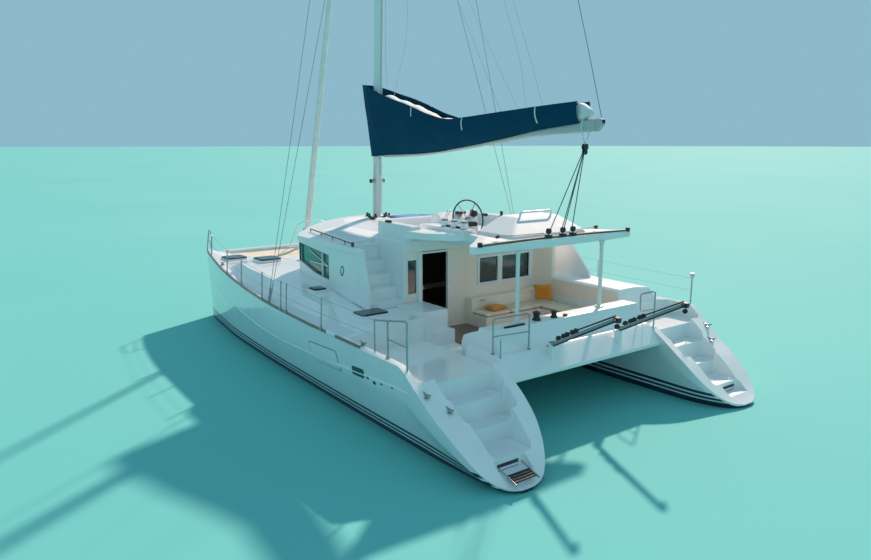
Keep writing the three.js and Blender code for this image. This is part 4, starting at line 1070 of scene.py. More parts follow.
drums, caps = zip(*(winch(at) for at in HELM_WINCHES))
coaming_drums, coaming_caps = zip(*(winch(at, size) for at, size in COAMING_WINCHES))
piece("winch_drums", drums, "steel", angle=40)
piece("winch_caps", [*caps, *coaming_caps, *coaming_drums], "black", angle=40)
clutches = []
for i in range(5):
    y = -0.20 + i * CLUTCH_PITCH
    clutches.append(bar((-1.50, -1.32), (y, y + 0.045), (3.16, 3.24)))
    if i < 4:
        x = -2.79 + i * CLUTCH_PITCH + (0.21 if i > 1 else 0)
        clutches.append(bar((x, x + 0.04), (0.95, 1.07), (3.338, 3.385)))
piece("clutches", clutches, "black", bevel=0.008)
gear = [mirror(part, side) for at in CLEATS for _, side in SIDES for part in cleat(at)]
piece("deck_cleats", gear, "steel", angle=50)
fairlead = plate(square(-2.56, on_edge(-2.56).y, 0.34, 0.06), 0.02, 1.56, 1.63)
piece("rail_fairleads", [mirror(fairlead, side) for _, side in SIDES], "gelcoat", bevel=0.01)

# Helm
HELM_AT = Vector((-2.1, 0.285, 3.43))
HELM_RAKE = 0.2
HELM_AXIS = Vector((-math.cos(HELM_RAKE), 0, math.sin(HELM_RAKE)))
HELM_SIDE = Vector((0, 1, 0))
HELM_UP = HELM_AXIS.cross(HELM_SIDE).normalized()
WHEEL_RADIUS = 0.40
WHEEL_TUBE = 0.0155


def on_wheel(radius, angle, off=0.0):
    return HELM_AT + (HELM_SIDE * math.cos(angle) + HELM_UP * math.sin(angle)) * radius + HELM_AXIS * off


rings = []
for a in turns(48):
    out = (on_wheel(1, a) - HELM_AT).normalized()
    rings.append([on_wheel(WHEEL_RADIUS, a) + (out * u + HELM_AXIS * v) for u, v in circle(WHEEL_TUBE, 10)])
rings.append(rings[0])
piece("wheel_rim", [ring_grid(rings, closed_ends=False)], "black", "wheel", replaces=("helm_wheel",))
spokes = [turned([(0.05, -0.06), (0.05, 0.0), (0.042, 0.016), (0.0, 0.022)], HELM_AT, HELM_AXIS, 24)]
for a in turns(5):
    a += 0.3
    spokes.append(sweep([on_wheel(0.03, a, -0.02), on_wheel(0.2, a, -0.012), on_wheel(0.395, a)], 0.009, 8))
piece("wheel_spokes", spokes, "steel", "wheel", angle=50)
pod = [
    bar((-1.74, -1.60), (0.05, 0.26), (3.50, 3.555)), bar((-1.84, -1.74), (-0.19, 0.06), (3.22, 3.32)),
    bar((-1.70, -1.62), (-0.60, -0.50), (3.40, 3.47)), bar((-1.60, -1.52), (-1.17, -1.07), (3.10, 3.38)),
    bar((-1.585, -1.535), (-1.15, -1.09), (3.38, 3.48)),
]
piece("instrument_pod", pod, "black", bevel=0.014)
bowl = [(0.0, -0.07), (0.075, -0.05), (0.095, 0.0), (0.085, 0.03), (0.05, 0.055), (0.0, 0.065)]
piece("dials", [turned(bowl, (-1.70, -0.19, 3.50), (-0.8, 0, 0.6), 20)], "black", angle=50)
levers = []
for y in (0.58, 0.64):
    levers.append(tube([(-1.70, y, 3.40), (-1.86, y, 3.60)], 0.007))
    levers.append(turned([(0.0, -0.018), (0.018, 0.0), (0.0, 0.018)], (-1.865, y, 3.607)))
piece("throttles", levers, "steel", angle=60)

# Helm seat. Columns: aft edge x, right y, left y, z of each ring of its mound
SEAT_RINGS = [(-4.25, -1.01, 0.95, 3.20), (-4.25, -1.01, 0.95, 3.31), (-3.66, -0.78, 0.30, 3.597)]
SEAT_FRONT = -3.15
mound = [
    [(aft, right, z), (SEAT_FRONT, right, z), (SEAT_FRONT, left, z), (aft, left, z)]
    for aft, right, left, z in SEAT_RINGS
]
piece("helm_bench", [ring_grid(mound)], "nonskid", bevel=0.06, angle=15, segments=5, replaces=("helm_seat",))
back = [(-3.67, 0.27, 3.56), (-3.70, 0.27, 3.69), (-3.70, -0.56, 3.69), (-3.67, -0.56, 3.56)]
piece("bench_rail", [tube(back, 0.021, 0.08, 12)], "gelcoat", angle=50)

# Mast
MAST_FOOT_X, MAST_FOOT_Z, MAST_RAKE = 2.08, 3.11, 0.0463
MAST_HALF_LENGTH, MAST_HALF_WIDTH = 0.145, 0.094
SPREADERS = (9.7, 14.7)
# Halyard tails, from the mast's middle: ahead, to port
HALYARDS = ((-0.165, 0.03), (-0.16, -0.04), (-0.09, 0.10), (-0.02, 0.108), (-0.06, -0.105))
# Blocks round the mast foot: x, y
FOOT_BLOCKS = (
    (2.30, 0.16), (2.31, -0.12), (1.82, 0.20), (1.80, -0.06), (1.84, -0.22), (2.02, 0.26), (2.05, -0.26),
)
# Leads on the roof: x, y, z
ROOF_LEADS = ((1.60, 0.42, 3.13), (0.62, 0.58, 3.13), (0.90, -0.5, 3.13), (-0.9, 1.52, 3.33))


def mast_point(z, ahead=0.0, side=0.0):
    """A point of the raked mast."""
    return Vector((MAST_FOOT_X - (z - MAST_FOOT_Z) * MAST_RAKE + ahead, side, z))


heights = [3.145, 6, 9.7, 14.7, 18.5, 19.7, 20.9]
section = oval(MAST_HALF_LENGTH, MAST_HALF_WIDTH, 28)
mast = [sweep([mast_point(z) for z in heights], 0, profile=section, taper=[1, 1, 1, 1, 1, 0.84, 0.62])]
mast.append(plate(square(2.07, 0, 0.40, 0.34), 0.05, 3.10, 3.152))
for z in SPREADERS:
    for _, side in SIDES:
        ends = [mast_point(z, 0, 0.05 * side), mast_point(z, -0.42, 1.5 * side) + UP * 0.09]
        mast.append(sweep(ends, 0, profile=[(v, u) for u, v in oval(0.075, 0.020, 12)], taper=[1, 0.6]))
piece("mast_tube", mast, "spar", angle=40, replaces=("mast",))
track = [sweep([mast_point(z, -0.150) for z in (4.2, 9, 14, 20.6)], 0, profile=oblong(0.012, 0.016))]
track += [bar((1.77, 1.92), (-0.026, 0.026), (z, z + 0.018)) for z in (4.695, 4.867)]
track.append(tube([(1.80, 0, 4.70), (1.80, 0, 4.88)], 0.010))
piece("mast_track", track, "aluminium", bevel=0.002)
mast_drums, mast_caps = [], []
for _, side in SIDES:
    spin = Matrix.Rotation(math.radians(-90 * side), 4, "X")
    move = Matrix.Translation(mast_point(4.05, 0, 0.085 * side))
    for (verts, faces), kept in zip(winch((0, 0, 0), 0.8), (mast_drums, mast_caps)):
        kept.append(([move @ spin @ Vector(v) for v in verts], faces))
piece("mast_winches", mast_drums, "steel", angle=40)
piece("mast_winch_caps", mast_caps, "black", angle=40)
tails = [tube([mast_point(3.25, *place), mast_point(4.5, *place)], 0.0065, sides=6) for place in HALYARDS]
piece("halyard_tails", tails, "rope", angle=80)
dark = []
for x, y in FOOT_BLOCKS:
    dark += block_at((x, y, 3.19), 0.042, (0.3, 1, 0))
    dark.append(plate(square(x, y, 0.07, 0.07), 0.01, 3.09, 3.155))
for x, y, z in ROOF_LEADS:
    dark.append(plate(square(x, y, 0.16, 0.09), 0.02, z - 0.05, z + 0.045))
piece("mast_foot_gear", dark, "black", bevel=0.004)

# Shrouds
CHAINPLATE = Vector((0.45, 3.748, 1.61))
SCREW = [(0.008, -0.02), (0.008, 0.06), (0.018, 0.09), (0.018, 0.30), (0.010, 0.33), (0.010, 0.42)]
# Columns: height at the mast, place of its foot ahead of the chainplate's middle
SHROUDS = ((18.5, 0.03), (14.5, -0.03))
for label, side in SIDES:
    wires, screws = [], []
    for z, ahead in SHROUDS:
        top = mast_point(z, -0.02, 0.104)
        along = (top - CHAINPLATE).normalized()
        base = CHAINPLATE + Vector((ahead, 0, 0))
        wires.append(tube([base + along * 0.3, top], 0.0065, sides=8))
        screws.append(turned(SCREW, base, along, 12))
        pin = base + along * 0.02
        screws.append(tube([pin - Vector((0, 0.02, 0)), pin + Vector((0, 0.02, 0))], 0.008))
    screws.append(bar((0.38, 0.52), (3.742, 3.754), (1.50, 1.64)))
    piece(f"{label}_shroud_wires", mirrored(wires, side), "steel", replaces=(f"{label}_shrouds",))
    piece(f"{label}_rigging_screws", mirrored(screws, side), "steel", angle=50)

# Furled genoa
STAY_FOOT, STAY_HEAD = Vector((6.4, 0, 1.96)), mast_point(18.5, 0.156)
STAY_AXIS = (STAY_HEAD - STAY_FOOT).normalized()
ROLL_RINGS, ROLL_POINTS = 150, 20
ROLL_FOOT_RADIUS, ROLL_HEAD_RADIUS = 0.092, 0.045
FURLING_DRUM = [
    (0.02, 0.0), (0.118, 0.0), (0.118, 0.012), (0.062, 0.02), (0.058, 0.14), (0.118, 0.15), (0.118, 0.162),
    (0.045, 0.18), (0.03, 0.26),
]


def roll_ring(t):
    """The rolled sail round the stay, with its turns as folds: t is 0 at the tack and 1 at the head."""
    beside = Vector((0, 1, 0))
    ahead = STAY_AXIS.cross(beside)
    centre = STAY_FOOT.lerp(STAY_HEAD, 0.026 + 0.944 * t)
    swell = ROLL_FOOT_RADIUS + (ROLL_HEAD_RADIUS - ROLL_FOOT_RADIUS) * t
    if t > 0.985:
        swell *= 0.6
    if t < 0.02:
        swell *= 0.55 + 22 * t
    ring = []
    for a in turns(ROLL_POINTS):
        turn = a - t * 34
        fold = 1 + 0.05 * math.sin(turn) + 0.035 * math.sin(3 * turn + 1.0) + 0.02 * math.sin(7 * a + t * 190)
        ring.append(centre + (beside * math.cos(a) + ahead * math.sin(a)) * swell * min(fold, 1.07))
    return ring


roll = [roll_ring(i / (ROLL_RINGS - 1)) for i in range(ROLL_RINGS)]
piece("genoa_roll", [ring_grid(roll)], "sailcloth", "headsail", angle=80, replaces=("furled_genoa",))
drum = turned(FURLING_DRUM, STAY_FOOT.lerp(STAY_HEAD, 0.0155), STAY_AXIS, 28)
piece("furling_drum", [drum], "black", "headsail", angle=35)
piece("forestay_wire", [tube([STAY_FOOT, STAY_HEAD], 0.007)], "steel", replaces=("forestay",))

# Boom. Columns: x, top z, bottom z, half width
BOOM = [
    (1.66, 4.93, 4.655, 0.06), (1.30, 4.95, 4.66, 0.085), (0.09, 5.02, 4.71, 0.09),
    (-1.44, 5.12, 4.85, 0.09), (-2.75, 5.22, 5.00, 0.09), (-3.89, 5.31, 5.13, 0.088),
    (-5.05, 5.40, 5.185, 0.085), (-5.30, 5.42, 5.20, 0.08),
]


def boom_ring(x):
    top, low, half = (looked_up(BOOM, column, x) for column in (1, 2, 3))
    middle, tall = (top + low) / 2, (top - low) / 2
    return [
        (x, half * squared(math.cos(a), 0.7), middle + tall * squared(math.sin(a), 0.7)) for a in turns(24)
    ]


boom = ring_grid([boom_ring(x) for x in np.linspace(BOOM[0][0], BOOM[-1][0], 30)])
piece("boom_tube", [boom], "boom_grey", "boom_and_sail", angle=40, replaces=("boom",))
fitting = sweep([(-5.28, 0, 5.31), (-5.42, 0, 5.36)], 0, profile=oblong(0.075, 0.10), taper=[1, 0.5])
piece("boom_end", [fitting], "boom_grey", "boom_and_sail", bevel=0.012)
piece("boom_end_sheave", block_at((-5.41, 0, 5.36), 0.042), "black", "boom_and_sail", angle=40)
toggle = [
    bar((1.778, 1.822), (-0.024, 0.024), (4.725, 4.765)), bar((1.62, 1.80), (-0.022, 0.022), (4.745, 4.835)),
    bar((1.60, 1.67), (-0.05, 0.05), (4.68, 4.90)),
]
piece("boom_toggle", toggle, "aluminium", "boom_and_sail", bevel=0.006)

# Mainsheet and traveller
SHEET_BLOCK = Vector((-5.03, 0, 4.93))
STROP = [
    (-5.02, 0.0, 5.0), (-5.03, 0.07, 5.12), (-5.02, 0.096, 5.25), (-5.02, 0.06, 5.42),
    (-5.02, -0.06, 5.42), (-5.02, -0.096, 5.25), (-5.03, -0.07, 5.12), (-5.02, 0.0, 5.0),
]
TRACK_X, TRACK_TOP, TRACK_END = -4.5, 3.312, 1.94
# Each traveller car's y, and how far to each side of it its falls come down
CARS = {0.30: (-0.03,), -0.07: (-0.02, 0.03), -0.34: (0.03,)}
piece("sheet_strop", [sweep(curve_points(STROP, 4), 0.011, 8)], "sailcloth", "boom_and_sail", angle=60)
upper = block_at(SHEET_BLOCK, 0.062, (1, 0.1, 0)) + block_at(SHEET_BLOCK - UP * 0.085, 0.05, (1, 0.1, 0))
piece("sheet_block", upper, "black", "boom_and_sail", angle=40)
cars, lowers, falls = [], [], []
for y, places in CARS.items():
    cars.append(plate(square(TRACK_X, y, 0.09, 0.13), 0.015, TRACK_TOP - 0.024, TRACK_TOP + 0.03))
    lowers += block_at((TRACK_X, y, TRACK_TOP + 0.095), 0.052, (1, 0, 0))
    lowers.append(tube([(TRACK_X, y, TRACK_TOP + 0.03), (TRACK_X, y, TRACK_TOP + 0.07)], 0.012))
    for place in places:
        low = Vector((TRACK_X, y + place, TRACK_TOP + 0.10))
        falls.append(tube([low.lerp(SHEET_BLOCK, part / 8) for part in range(9)], 0.0095, sides=6))
for y in (-TRACK_END, TRACK_END):
    cars.append(plate(square(TRACK_X, y, 0.075, 0.07), 0.02, TRACK_TOP - 0.07, TRACK_TOP + 0.012))
for y, tilt in ((1.30, 0.2), (-1.30, -0.2)):
    lowers += block_at((-4.22, y, 3.345), 0.048, (0.3, tilt, 1))
piece("traveller_cars", cars, "black", bevel=0.006)
piece("traveller_blocks", lowers, "black", angle=40)
sheet = piece("mainsheet", falls, "dark_rope", angle=80)
sheet.parent = None
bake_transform(sheet)
control = [
    [(-4.22, 1.30, 3.35), (-4.42, 0.34, 3.365)],
    [(-4.22, -1.30, 3.35), (-4.42, -0.38, 3.365)],
    [(-4.22, 1.32, 3.33), (-3.2, 1.12, 3.31), (-2.6, 1.0, 3.37)],
]
piece("traveller_lines", [tube(path, 0.007, sides=6) for path in control], "orange_rope", angle=80)

# Running lines between the boom and the mast
LIFT = [(-5.38 + 4.595 * t + 1.965 * t * t, 0, 5.43 + 15.17 * t) for t in (i / 12 for i in range(12))]
LINES = {
    "topping_lift": (*LIFT, (1.16, 0, 20.6)),
    "port_lazy_jack": ((-3.05, 0.245, 5.60), (-1.51, 0.16, 7.93), (1.50, 0.10, 12.6)),
    "starboard_lazy_jack": ((-3.05, -0.245, 5.60), (-1.51, -0.16, 7.93), (1.50, -0.10, 12.6)),
    "port_aft_lazy_jack": ((-3.75, 0.22, 5.64), (-2.93, 0.12, 7.71), (1.34, 0.09, 16.8)),
    "starboard_aft_lazy_jack": ((-3.75, -0.22, 5.64), (-2.93, -0.12, 7.71), (1.34, -0.09, 16.8)),
    "port_front_lazy_jack": ((0.78, 0.28, 6.0), (0.30, 0.18, 8.2), (1.62, 0.10, 12.2)),
    "main_halyard": ((1.50, 0, 6.42), (1.52, 0, 8.4), (1.10, 0, 20.6)),
}
for name, path in LINES.items():
    low, top = path[0], path[-1]
    steps = 8 if len(path) < 4 else 2
    radius = 0.005 if "jack" in name else 0.006
    material = "dark_rope" if name == "topping_lift" else "rope"
    line = piece(name, [sweep(curve_points(path, steps), radius, 6)], material, angle=80)
    line.parent = None
    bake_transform(line)

# Sail bag: one cloth hung from its upper edges and closed in front of the mast.
# Columns: x, top z, bottom z, half width at the top, at the belly and at the bottom
BAG = [
    (-4.95, 5.71, 5.35, 0.150, 0.170, 0.100), (-4.00, 5.66, 5.25, 0.195, 0.220, 0.110),
    (-3.08, 5.60, 5.11, 0.235, 0.255, 0.115), (-2.00, 5.53, 4.96, 0.265, 0.290, 0.120),
    (-1.40, 5.50, 4.89, 0.280, 0.305, 0.120), (-0.78, 5.60, 4.82, 0.290, 0.315, 0.120),
    (0.21, 5.87, 4.76, 0.290, 0.315, 0.120), (1.21, 6.12, 4.73, 0.270, 0.290, 0.125),
    (1.75, 6.28, 4.70, 0.245, 0.265, 0.145), (2.10, 6.38, 4.69, 0.205, 0.220, 0.160),
    (2.44, 6.45, 4.69, 0.120, 0.130, 0.120), (2.61, 6.47, 4.69, 0.050, 0.055, 0.050),
    (2.66, 6.475, 4.69, 0.0, 0.0, 0.0),
]


BAG_AFT, NOSE_X, LEAN_X, BAG_TIP = -4.95, 1.65, 1.7, 2.66
AFT_STATIONS, NOSE_STATIONS, BAG_ROWS = 62, 18, 16


def bag_row(x):
    return [looked_up(BAG, column, x) for column in range(1, 6)]


def bag_point(x, side, part, off=0.0):
    """A point of the bag: part is 0 at its bottom edge and 1 at the top."""
    top, low, at_top, belly, at_low = bag_row(x)
    if side < 0:
        # The far edge is pulled up beside the mast
        top += 0.045 * math.exp(-((x - 0.9) / 0.9) ** 2)
    z = low + (top - low) * part
    half = at_low * (1 - part) * (1 - 2 * part) + belly * 4 * part * (1 - part)
    half += at_top * part * (2 * part - 1)
    # The front edge leans forward towards its top
    run = x if x < LEAN_X else LEAN_X + (x - LEAN_X) * (0.52 + 0.48 * part)
    fold = 0.006 * math.sin(3.1 * x + 4 * z) + 0.004 * math.sin(9 * x - 5 * z + side)
    fold += 0.010 * math.sin(2.2 * (z * 3 - x)) * part * (1 - part) + 0.003 * math.sin(23 * x + 6 * z)
    fold *= min(1.0, half / 0.12)
    return Vector((run, side * (half + fold + off), z))


def bag_stations():
    """Places along the bag, closer to each other towards its front edge."""
    aft = [BAG_AFT + (NOSE_X - BAG_AFT) * i / AFT_STATIONS for i in range(AFT_STATIONS)]
    parts = [1 - (1 - i / NOSE_STATIONS) ** 2 for i in range(NOSE_STATIONS + 1)]
    return aft + [NOSE_X + (BAG_TIP - NOSE_X) * part for part in parts]


xs = bag_stations()
walk = [(x, 1) for x in xs] + [(x, -1) for x in reversed(xs[:-1])]
skin = [[bag_point(x, side, r / BAG_ROWS) for r in range(BAG_ROWS + 1)] for x, side in walk]
verts, faces = ring_grid(skin, closed_ends=False, closed_ring=False)
bag = thickened(new_object("bag_cloth", verts, faces), 0.004)
finish_piece(bag, "navy_canvas", angle=60)
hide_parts("bag_collar")
hems = [sweep([bag_point(x, side, part) for x, side in walk], 0.011, 8) for part in (0.0, 1.0)]
hem = piece("bag_hem", hems, "navy_canvas", angle=80)
teeth = [bag_point(BAG_TIP, 1, r / 10) + Vector((0.004, 0, 0)) for r in range(11)]
zipper = piece("bag_zip", [sweep(teeth, 0.010, 8)], "black", angle=80)
for obj in (bag, hem, zipper):
    obj.parent = None
    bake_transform(obj)

# Ties on the bag. Columns: x, drop
TIES = ((0.02, 0.20), (-1.85, 0.26), (-3.95, 0.30))
ties = []
for x, drop in TIES:
    top, low, *_ = bag_row(x)
    for _, side in SIDES:
        downs = [drop * s / 5 for s in range(6)]
        path = [bag_point(x - 0.25 * down, side, 1 - down / (top - low), 0.012) for down in downs]
        path.insert(0, path[0] + Vector((0, -0.04 * side, 0.012)))
        ties.append(sweep(path, 0, profile=oblong(0.012, 0.003)))
piece("bag_ties", ties, "sailcloth", "boom_and_sail", angle=60)


# Flaked mainsail inside the bag. Its leech is rolled from ROLL_X to its aft end
SAIL_FRONT, ROLL_X, SAIL_AFT = 1.40, -4.86, -5.15


def sail_ring(x):
    """A section of the sail on the boom, with its folds as ripples."""
    top, _, at_top, *_ = bag_row(max(x, BAG_AFT))
    tail = max(0.0, (ROLL_X - x) / (ROLL_X - SAIL_AFT))
    shrink = math.sqrt(max(0.04, 1 - tail ** 2))
    peak = top - 0.015 - 0.04 * math.sin(2.3 * x) ** 2 + 0.03 * math.exp(-((x + 1.2) / 0.35) ** 2)
    if x > 0.2:
        peak = top - 0.01
    if tail:
        peak = 5.70 - 0.06 * tail
    base = looked_up(BOOM, 1, max(x, BOOM[-1][0])) - 0.02
    half = (at_top - 0.035) * (0.55 + 0.45 * shrink)
    middle, tall = (peak + base) / 2, (peak - base) / 2 * shrink
    ring = []
    for a in turns(28):
        y = half * squared(math.cos(a), 0.55)
        z = middle + tall * squared(math.sin(a), 0.8)
        ripple = 1 + 0.05 * math.sin(z * 55 + x * 2) - 0.04 * abs(math.sin(7 * x + 3 * z))
        ring.append((x, y * ripple, z + 0.012 * math.sin(11 * x + 5 * y) * (z > middle)))
    return ring


sail = ring_grid([sail_ring(x) for x in np.linspace(SAIL_FRONT, SAIL_AFT, 110)])
piece("flaked_mainsail", [sail], "sailcloth", "boom_and_sail", angle=80, replaces=("sail_bag",))


# Padded pieces: the tops that the pads lie on, and the frames of their simulation
SOFT_FRAMES = 20
SEAT_Z = 1.3505
CUSHION_TOP = 1.445


def placed(part, matrix):
    return [matrix @ Vector(v) for v in part[0]], part[1]


def moved(x, y, z):
    return Matrix.Translation((x, y, z))


def turned_about(axis, angle):
    return Matrix.Rotation(angle, 4, axis)


def grid_edge(count):
    """(i, j) round the edge of a square grid of count cells a side."""
    edge = [(i, 0) for i in range(count + 1)] + [(count, j) for j in range(1, count + 1)]
    edge += [(i, count) for i in range(count - 1, -1, -1)] + [(0, j) for j in range(count - 1, 0, -1)]
    return edge


def pillow(length, width, height, power=4, pinch=0.05, count=18):
    """A crowned pad round the origin, thinner at its seam, its sides drawn in between the corners."""
    waves = [math.sin(math.pi * (i / count - 0.5)) for i in range(count + 1)]

    def half_pad(sign):
        grid = []
        for u in waves:
            row = []
            for v in waves:
                crown = ((1 - abs(u) ** power) * (1 - abs(v) ** power)) ** 0.5
                x = length / 2 * u * (1 - pinch * (1 - v * v))
                y = width / 2 * v * (1 - pinch * (1 - u * u))
                row.append((x, y, sign * height / 2 * (0.12 + 0.88 * crown)))
            grid.append(row)
        return ring_grid(grid, closed_ends=False, closed_ring=False)

    (top, faces), (low, low_faces) = half_pad(1), half_pad(-1)
    size, wide = len(top), count + 1
    faces = faces + [tuple(i + size for i in reversed(f)) for f in low_faces]
    line = [j * wide + i for i, j in grid_edge(count)]
    faces += [(a, b, b + size, a + size) for a, b in zip(line, line[1:] + line[:1])]
    return (top + low, faces), [top[i] for i in line]


def cushion(name, shape, matrix, material, ground, cap, voxel, body="boat", piping=0.005):
    """A pad swollen by its own pressure, no point by more than cap, and kept above ground(x, y)."""
    part, seam = pillow(*shape)
    obj = joined(name, [placed(part, matrix)])
    face_outwards(obj.data)
    remesh = obj.modifiers.new("remesh", "REMESH")
    remesh.mode, remesh.voxel_size = "VOXEL", voxel
    applied(obj)
    rest = np.array([v.co for v in obj.data.vertices])
    soft = obj.modifiers.new("cloth", "CLOTH")
    soft.settings.use_pressure = True
    soft.settings.uniform_pressure_force = 4
    soft.settings.effector_weights.gravity = 0
    soft.settings.quality = 4
    for step in range(1, SOFT_FRAMES + 1):
        bpy.context.scene.frame_set(step)
    applied(obj)
    bpy.context.scene.frame_set(1)
    now = np.array([v.co for v in obj.data.vertices])
    move = now - rest
    size = np.linalg.norm(move, axis=1, keepdims=True)
    now = rest + move * np.minimum(1, cap / np.maximum(size, 1e-9))
    now[:, 2] = np.maximum(now[:, 2], [ground(x, y) for x, y, _ in now])
    obj.data.vertices.foreach_set("co", now.ravel())
    finish_piece(obj, material, body, angle=180)
    smooth = obj.modifiers.new("smooth", "SMOOTH")
    smooth.iterations = 3
    edge = placed((seam, []), matrix)[0]
    edge = [Vector((p.x, p.y, max(p.z, ground(p.x, p.y) + piping))) for p in edge]
    trim = piece(f"{name}_seam", [sweep([*edge, edge[0]], piping, 6)], material, body, angle=80)
    trim.parent = obj.parent
    return obj


def on_seat(x, y):
    return SEAT_Z


def on_pads(x, y):
    return CUSHION_TOP + 0.001


def on_roof(x, y):
    return roof_z(y) + 0.004


# Cockpit cushions. Columns: length, width, height, squareness of the crown, pinch of the sides
SEAT_PAD = (0.46, 0.70, 0.078, 14, 0.004)
SIDE_PAD = (0.53, 0.55, 0.078, 14, 0.004)
FLAT_PAD = (0.34, 0.43, 0.085, 4, 0.07)
UPRIGHT_PAD = (0.42, 0.38, 0.10, 4, 0.07)
SUN_PAD = (0.86, 0.84, 0.085, 12, 0.006)
for i in range(3):
    at = moved(-2.365, -1.62 + i * 0.712, 1.397)
    cushion(f"seat_pad_{i}", SEAT_PAD, at, "leather", on_seat, 0.008, 0.016)
for i in range(2):
    at = moved(-2.87 - i * 0.54, -1.695, 1.397)
    cushion(f"side_pad_{i}", SIDE_PAD, at, "leather", on_seat, 0.008, 0.016)
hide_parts("settee_cushions")
lying = moved(-2.41, -0.245, 1.496)
flat = cushion("flat_pad", FLAT_PAD, lying, "orange_cloth", on_pads, 0.014, 0.008)
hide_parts("flat_cushion")
lean = moved(-2.47, -1.66, 1.481) @ turned_about("X", -0.2) @ turned_about("Z", 0.5)
standing = lean @ moved(0, 0, 0.2) @ turned_about("X", math.pi / 2)
upright = cushion("upright_pad", UPRIGHT_PAD, standing, "orange_cloth", on_pads, 0.014, 0.008)
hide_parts("upright_cushion")

# Sun pads on the saloon roof
SUN_PAD_X = 1.04
for i, y in enumerate((-0.35, -1.21)):
    lying = moved(SUN_PAD_X, y, on_roof(SUN_PAD_X, y) + 0.046) @ turned_about("X", math.atan(-0.0636 * y))
    pad = cushion(f"sun_pad_{i}", SUN_PAD, lying, "blue_cloth", on_roof, 0.010, 0.020)
    if i == 0:
        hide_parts("sunpad")

# Trampolines, laced to the beams and hulls
NET_AFT, NET_FORE = 4.16, 6.20
NET_INNER_Y = 0.15
NET_OUTER = ([4.16, 4.76, 6.20], [1.93, 2.11, 2.62])
NET_Z, NET_SAG = 1.842, 0.03
NET_CELLS = 24
LACE_BAR_AFT, LACE_BAR_FORE, LACE_BAR_Z = 4.104, 6.315, 1.86


def net_grid(side):
    grid = []
    for i in range(NET_CELLS + 1):
        x = NET_AFT + (NET_FORE - NET_AFT) * i / NET_CELLS
        wide = float(np.interp(x, *NET_OUTER)) - NET_INNER_Y
        sag = NET_SAG * math.sin(math.pi * i / NET_CELLS)
        row = []
        for j in range(NET_CELLS + 1):
            t = j / NET_CELLS
            row.append((x, side * (NET_INNER_Y + wide * t), NET_Z - sag * math.sin(math.pi * t)))
        grid.append(row)
    return grid


for label, side in SIDES:
    grid = net_grid(side)
    verts, faces = ring_grid(grid, closed_ends=False, closed_ring=False)
    net = thickened(new_object(f"{label}_net", verts, faces), 0.006)
    finish_piece(net, "netting", angle=60)
    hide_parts(f"{label}_trampoline")
    edge = [grid[i][j] for i, j in grid_edge(NET_CELLS)]
    laces = [sweep([*edge, edge[0]], 0.010, 8)]
    for j in range(2, NET_CELLS, 2):
        for row, x in ((grid[-1], LACE_BAR_FORE), (grid[0], LACE_BAR_AFT)):
            laces.append(tube([row[j], (x, row[j][1] + 0.03, LACE_BAR_Z), row[j + 1]], 0.004, sides=5))
    piece(f"{label}_net_lacing", laces, "rope", angle=80)

# Davits. Columns of the arm and of the strip under it: x, bottom z, top z
DAVIT_Y = 0.89
DAVIT_ARM = [(-5.25, 1.50, 1.575), (-5.36, 1.515, 1.61), (-6.62, 2.225, 2.28), (-6.66, 2.24, 2.28)]
DAVIT_STRIP = [(-5.30, 1.493, 1.517), (-6.64, 2.212, 2.236)]
DAVIT_BLOCKS = (-5.40, -5.52, -5.60, -5.72, -5.80)
DAVIT_LINE = [(-5.34, DAVIT_Y, 1.635), (-5.84, DAVIT_Y, 1.91), (-6.62, DAVIT_Y, 2.305)]


def davit_beam(rings, half):
    """A beam through upright rectangles, half its width to each side of DAVIT_Y."""
    a, b = DAVIT_Y - half, DAVIT_Y + half
    return ring_grid([[(x, a, low), (x, b, low), (x, b, high), (x, a, high)] for x, low, high in rings])


for label, side in SIDES:
    arm = mirror(davit_beam(DAVIT_ARM, 0.028), side)
    piece(f"{label}_davit_arm", [arm], "davit_grey", bevel=0.012, segments=3, replaces=(f"{label}_davit",))
    dark = [davit_beam(DAVIT_STRIP, 0.031), bar((-6.71, -6.61), (0.85, 0.93), (2.205, 2.29))]
    dark += block_at((-6.66, DAVIT_Y, 2.14), 0.042, (0, 1, 0.2))
    for x in DAVIT_BLOCKS:
        dark += block_at((x, DAVIT_Y, 1.665 - (x + 5.4) * 0.55), 0.045, (0.2, 1, 0.2))
    dark.append(tube(DAVIT_LINE, 0.014, 0.1))
    foot = bar((-5.305, -5.185), (0.838, 0.942), (1.10, 1.51))
    piece(f"{label}_davit_foot", [mirror(foot, side)], "gelcoat", bevel=0.012)
    piece(f"{label}_davit_gear", mirrored(dark, side), "black", bevel=0.003)
    washer = [(0.03, 0), (0.03, 0.02), (0.0, 0.024)]
    pins = [tube([(-5.24, 0.84, 1.56), (-5.24, 0.94, 1.56)], 0.018)]
    pins.append(tube([(-6.66, 0.83, 2.26), (-6.66, 0.95, 2.26)], 0.014))
    pins += [turned(washer, (-5.20, y, 1.48), sides=12) for y in (0.84, 0.94)]
    piece(f"{label}_davit_pins", mirrored(pins, side), "steel", angle=50)

# Boarding ladder, folded short
LADDER_FOOT = Vector((-6.85, 0, 0.175))
LADDER_REACH = Vector((0.39, 0, 0.115))
LADDER_SIDES = (2.70, 3.15)
feet = [LADDER_FOOT + Vector((0, y, 0)) for y in LADDER_SIDES]
rails = [tube([foot, foot + LADDER_REACH], 0.0145, sides=12) for foot in feet]
piece("ladder_rails", rails, "steel", "boarding_ladder", angle=50, replaces=("swim_ladder",))
treads = []
for part in (0.16, 0.28, 0.40, 0.52):
    at = LADDER_FOOT + LADDER_REACH * part
    treads.append(bar((at.x - 0.017, at.x + 0.017), (2.705, 3.145), (at.z - 0.012, at.z + 0.012)))
piece("ladder_treads", treads, "black", "boarding_ladder", bevel=0.005)

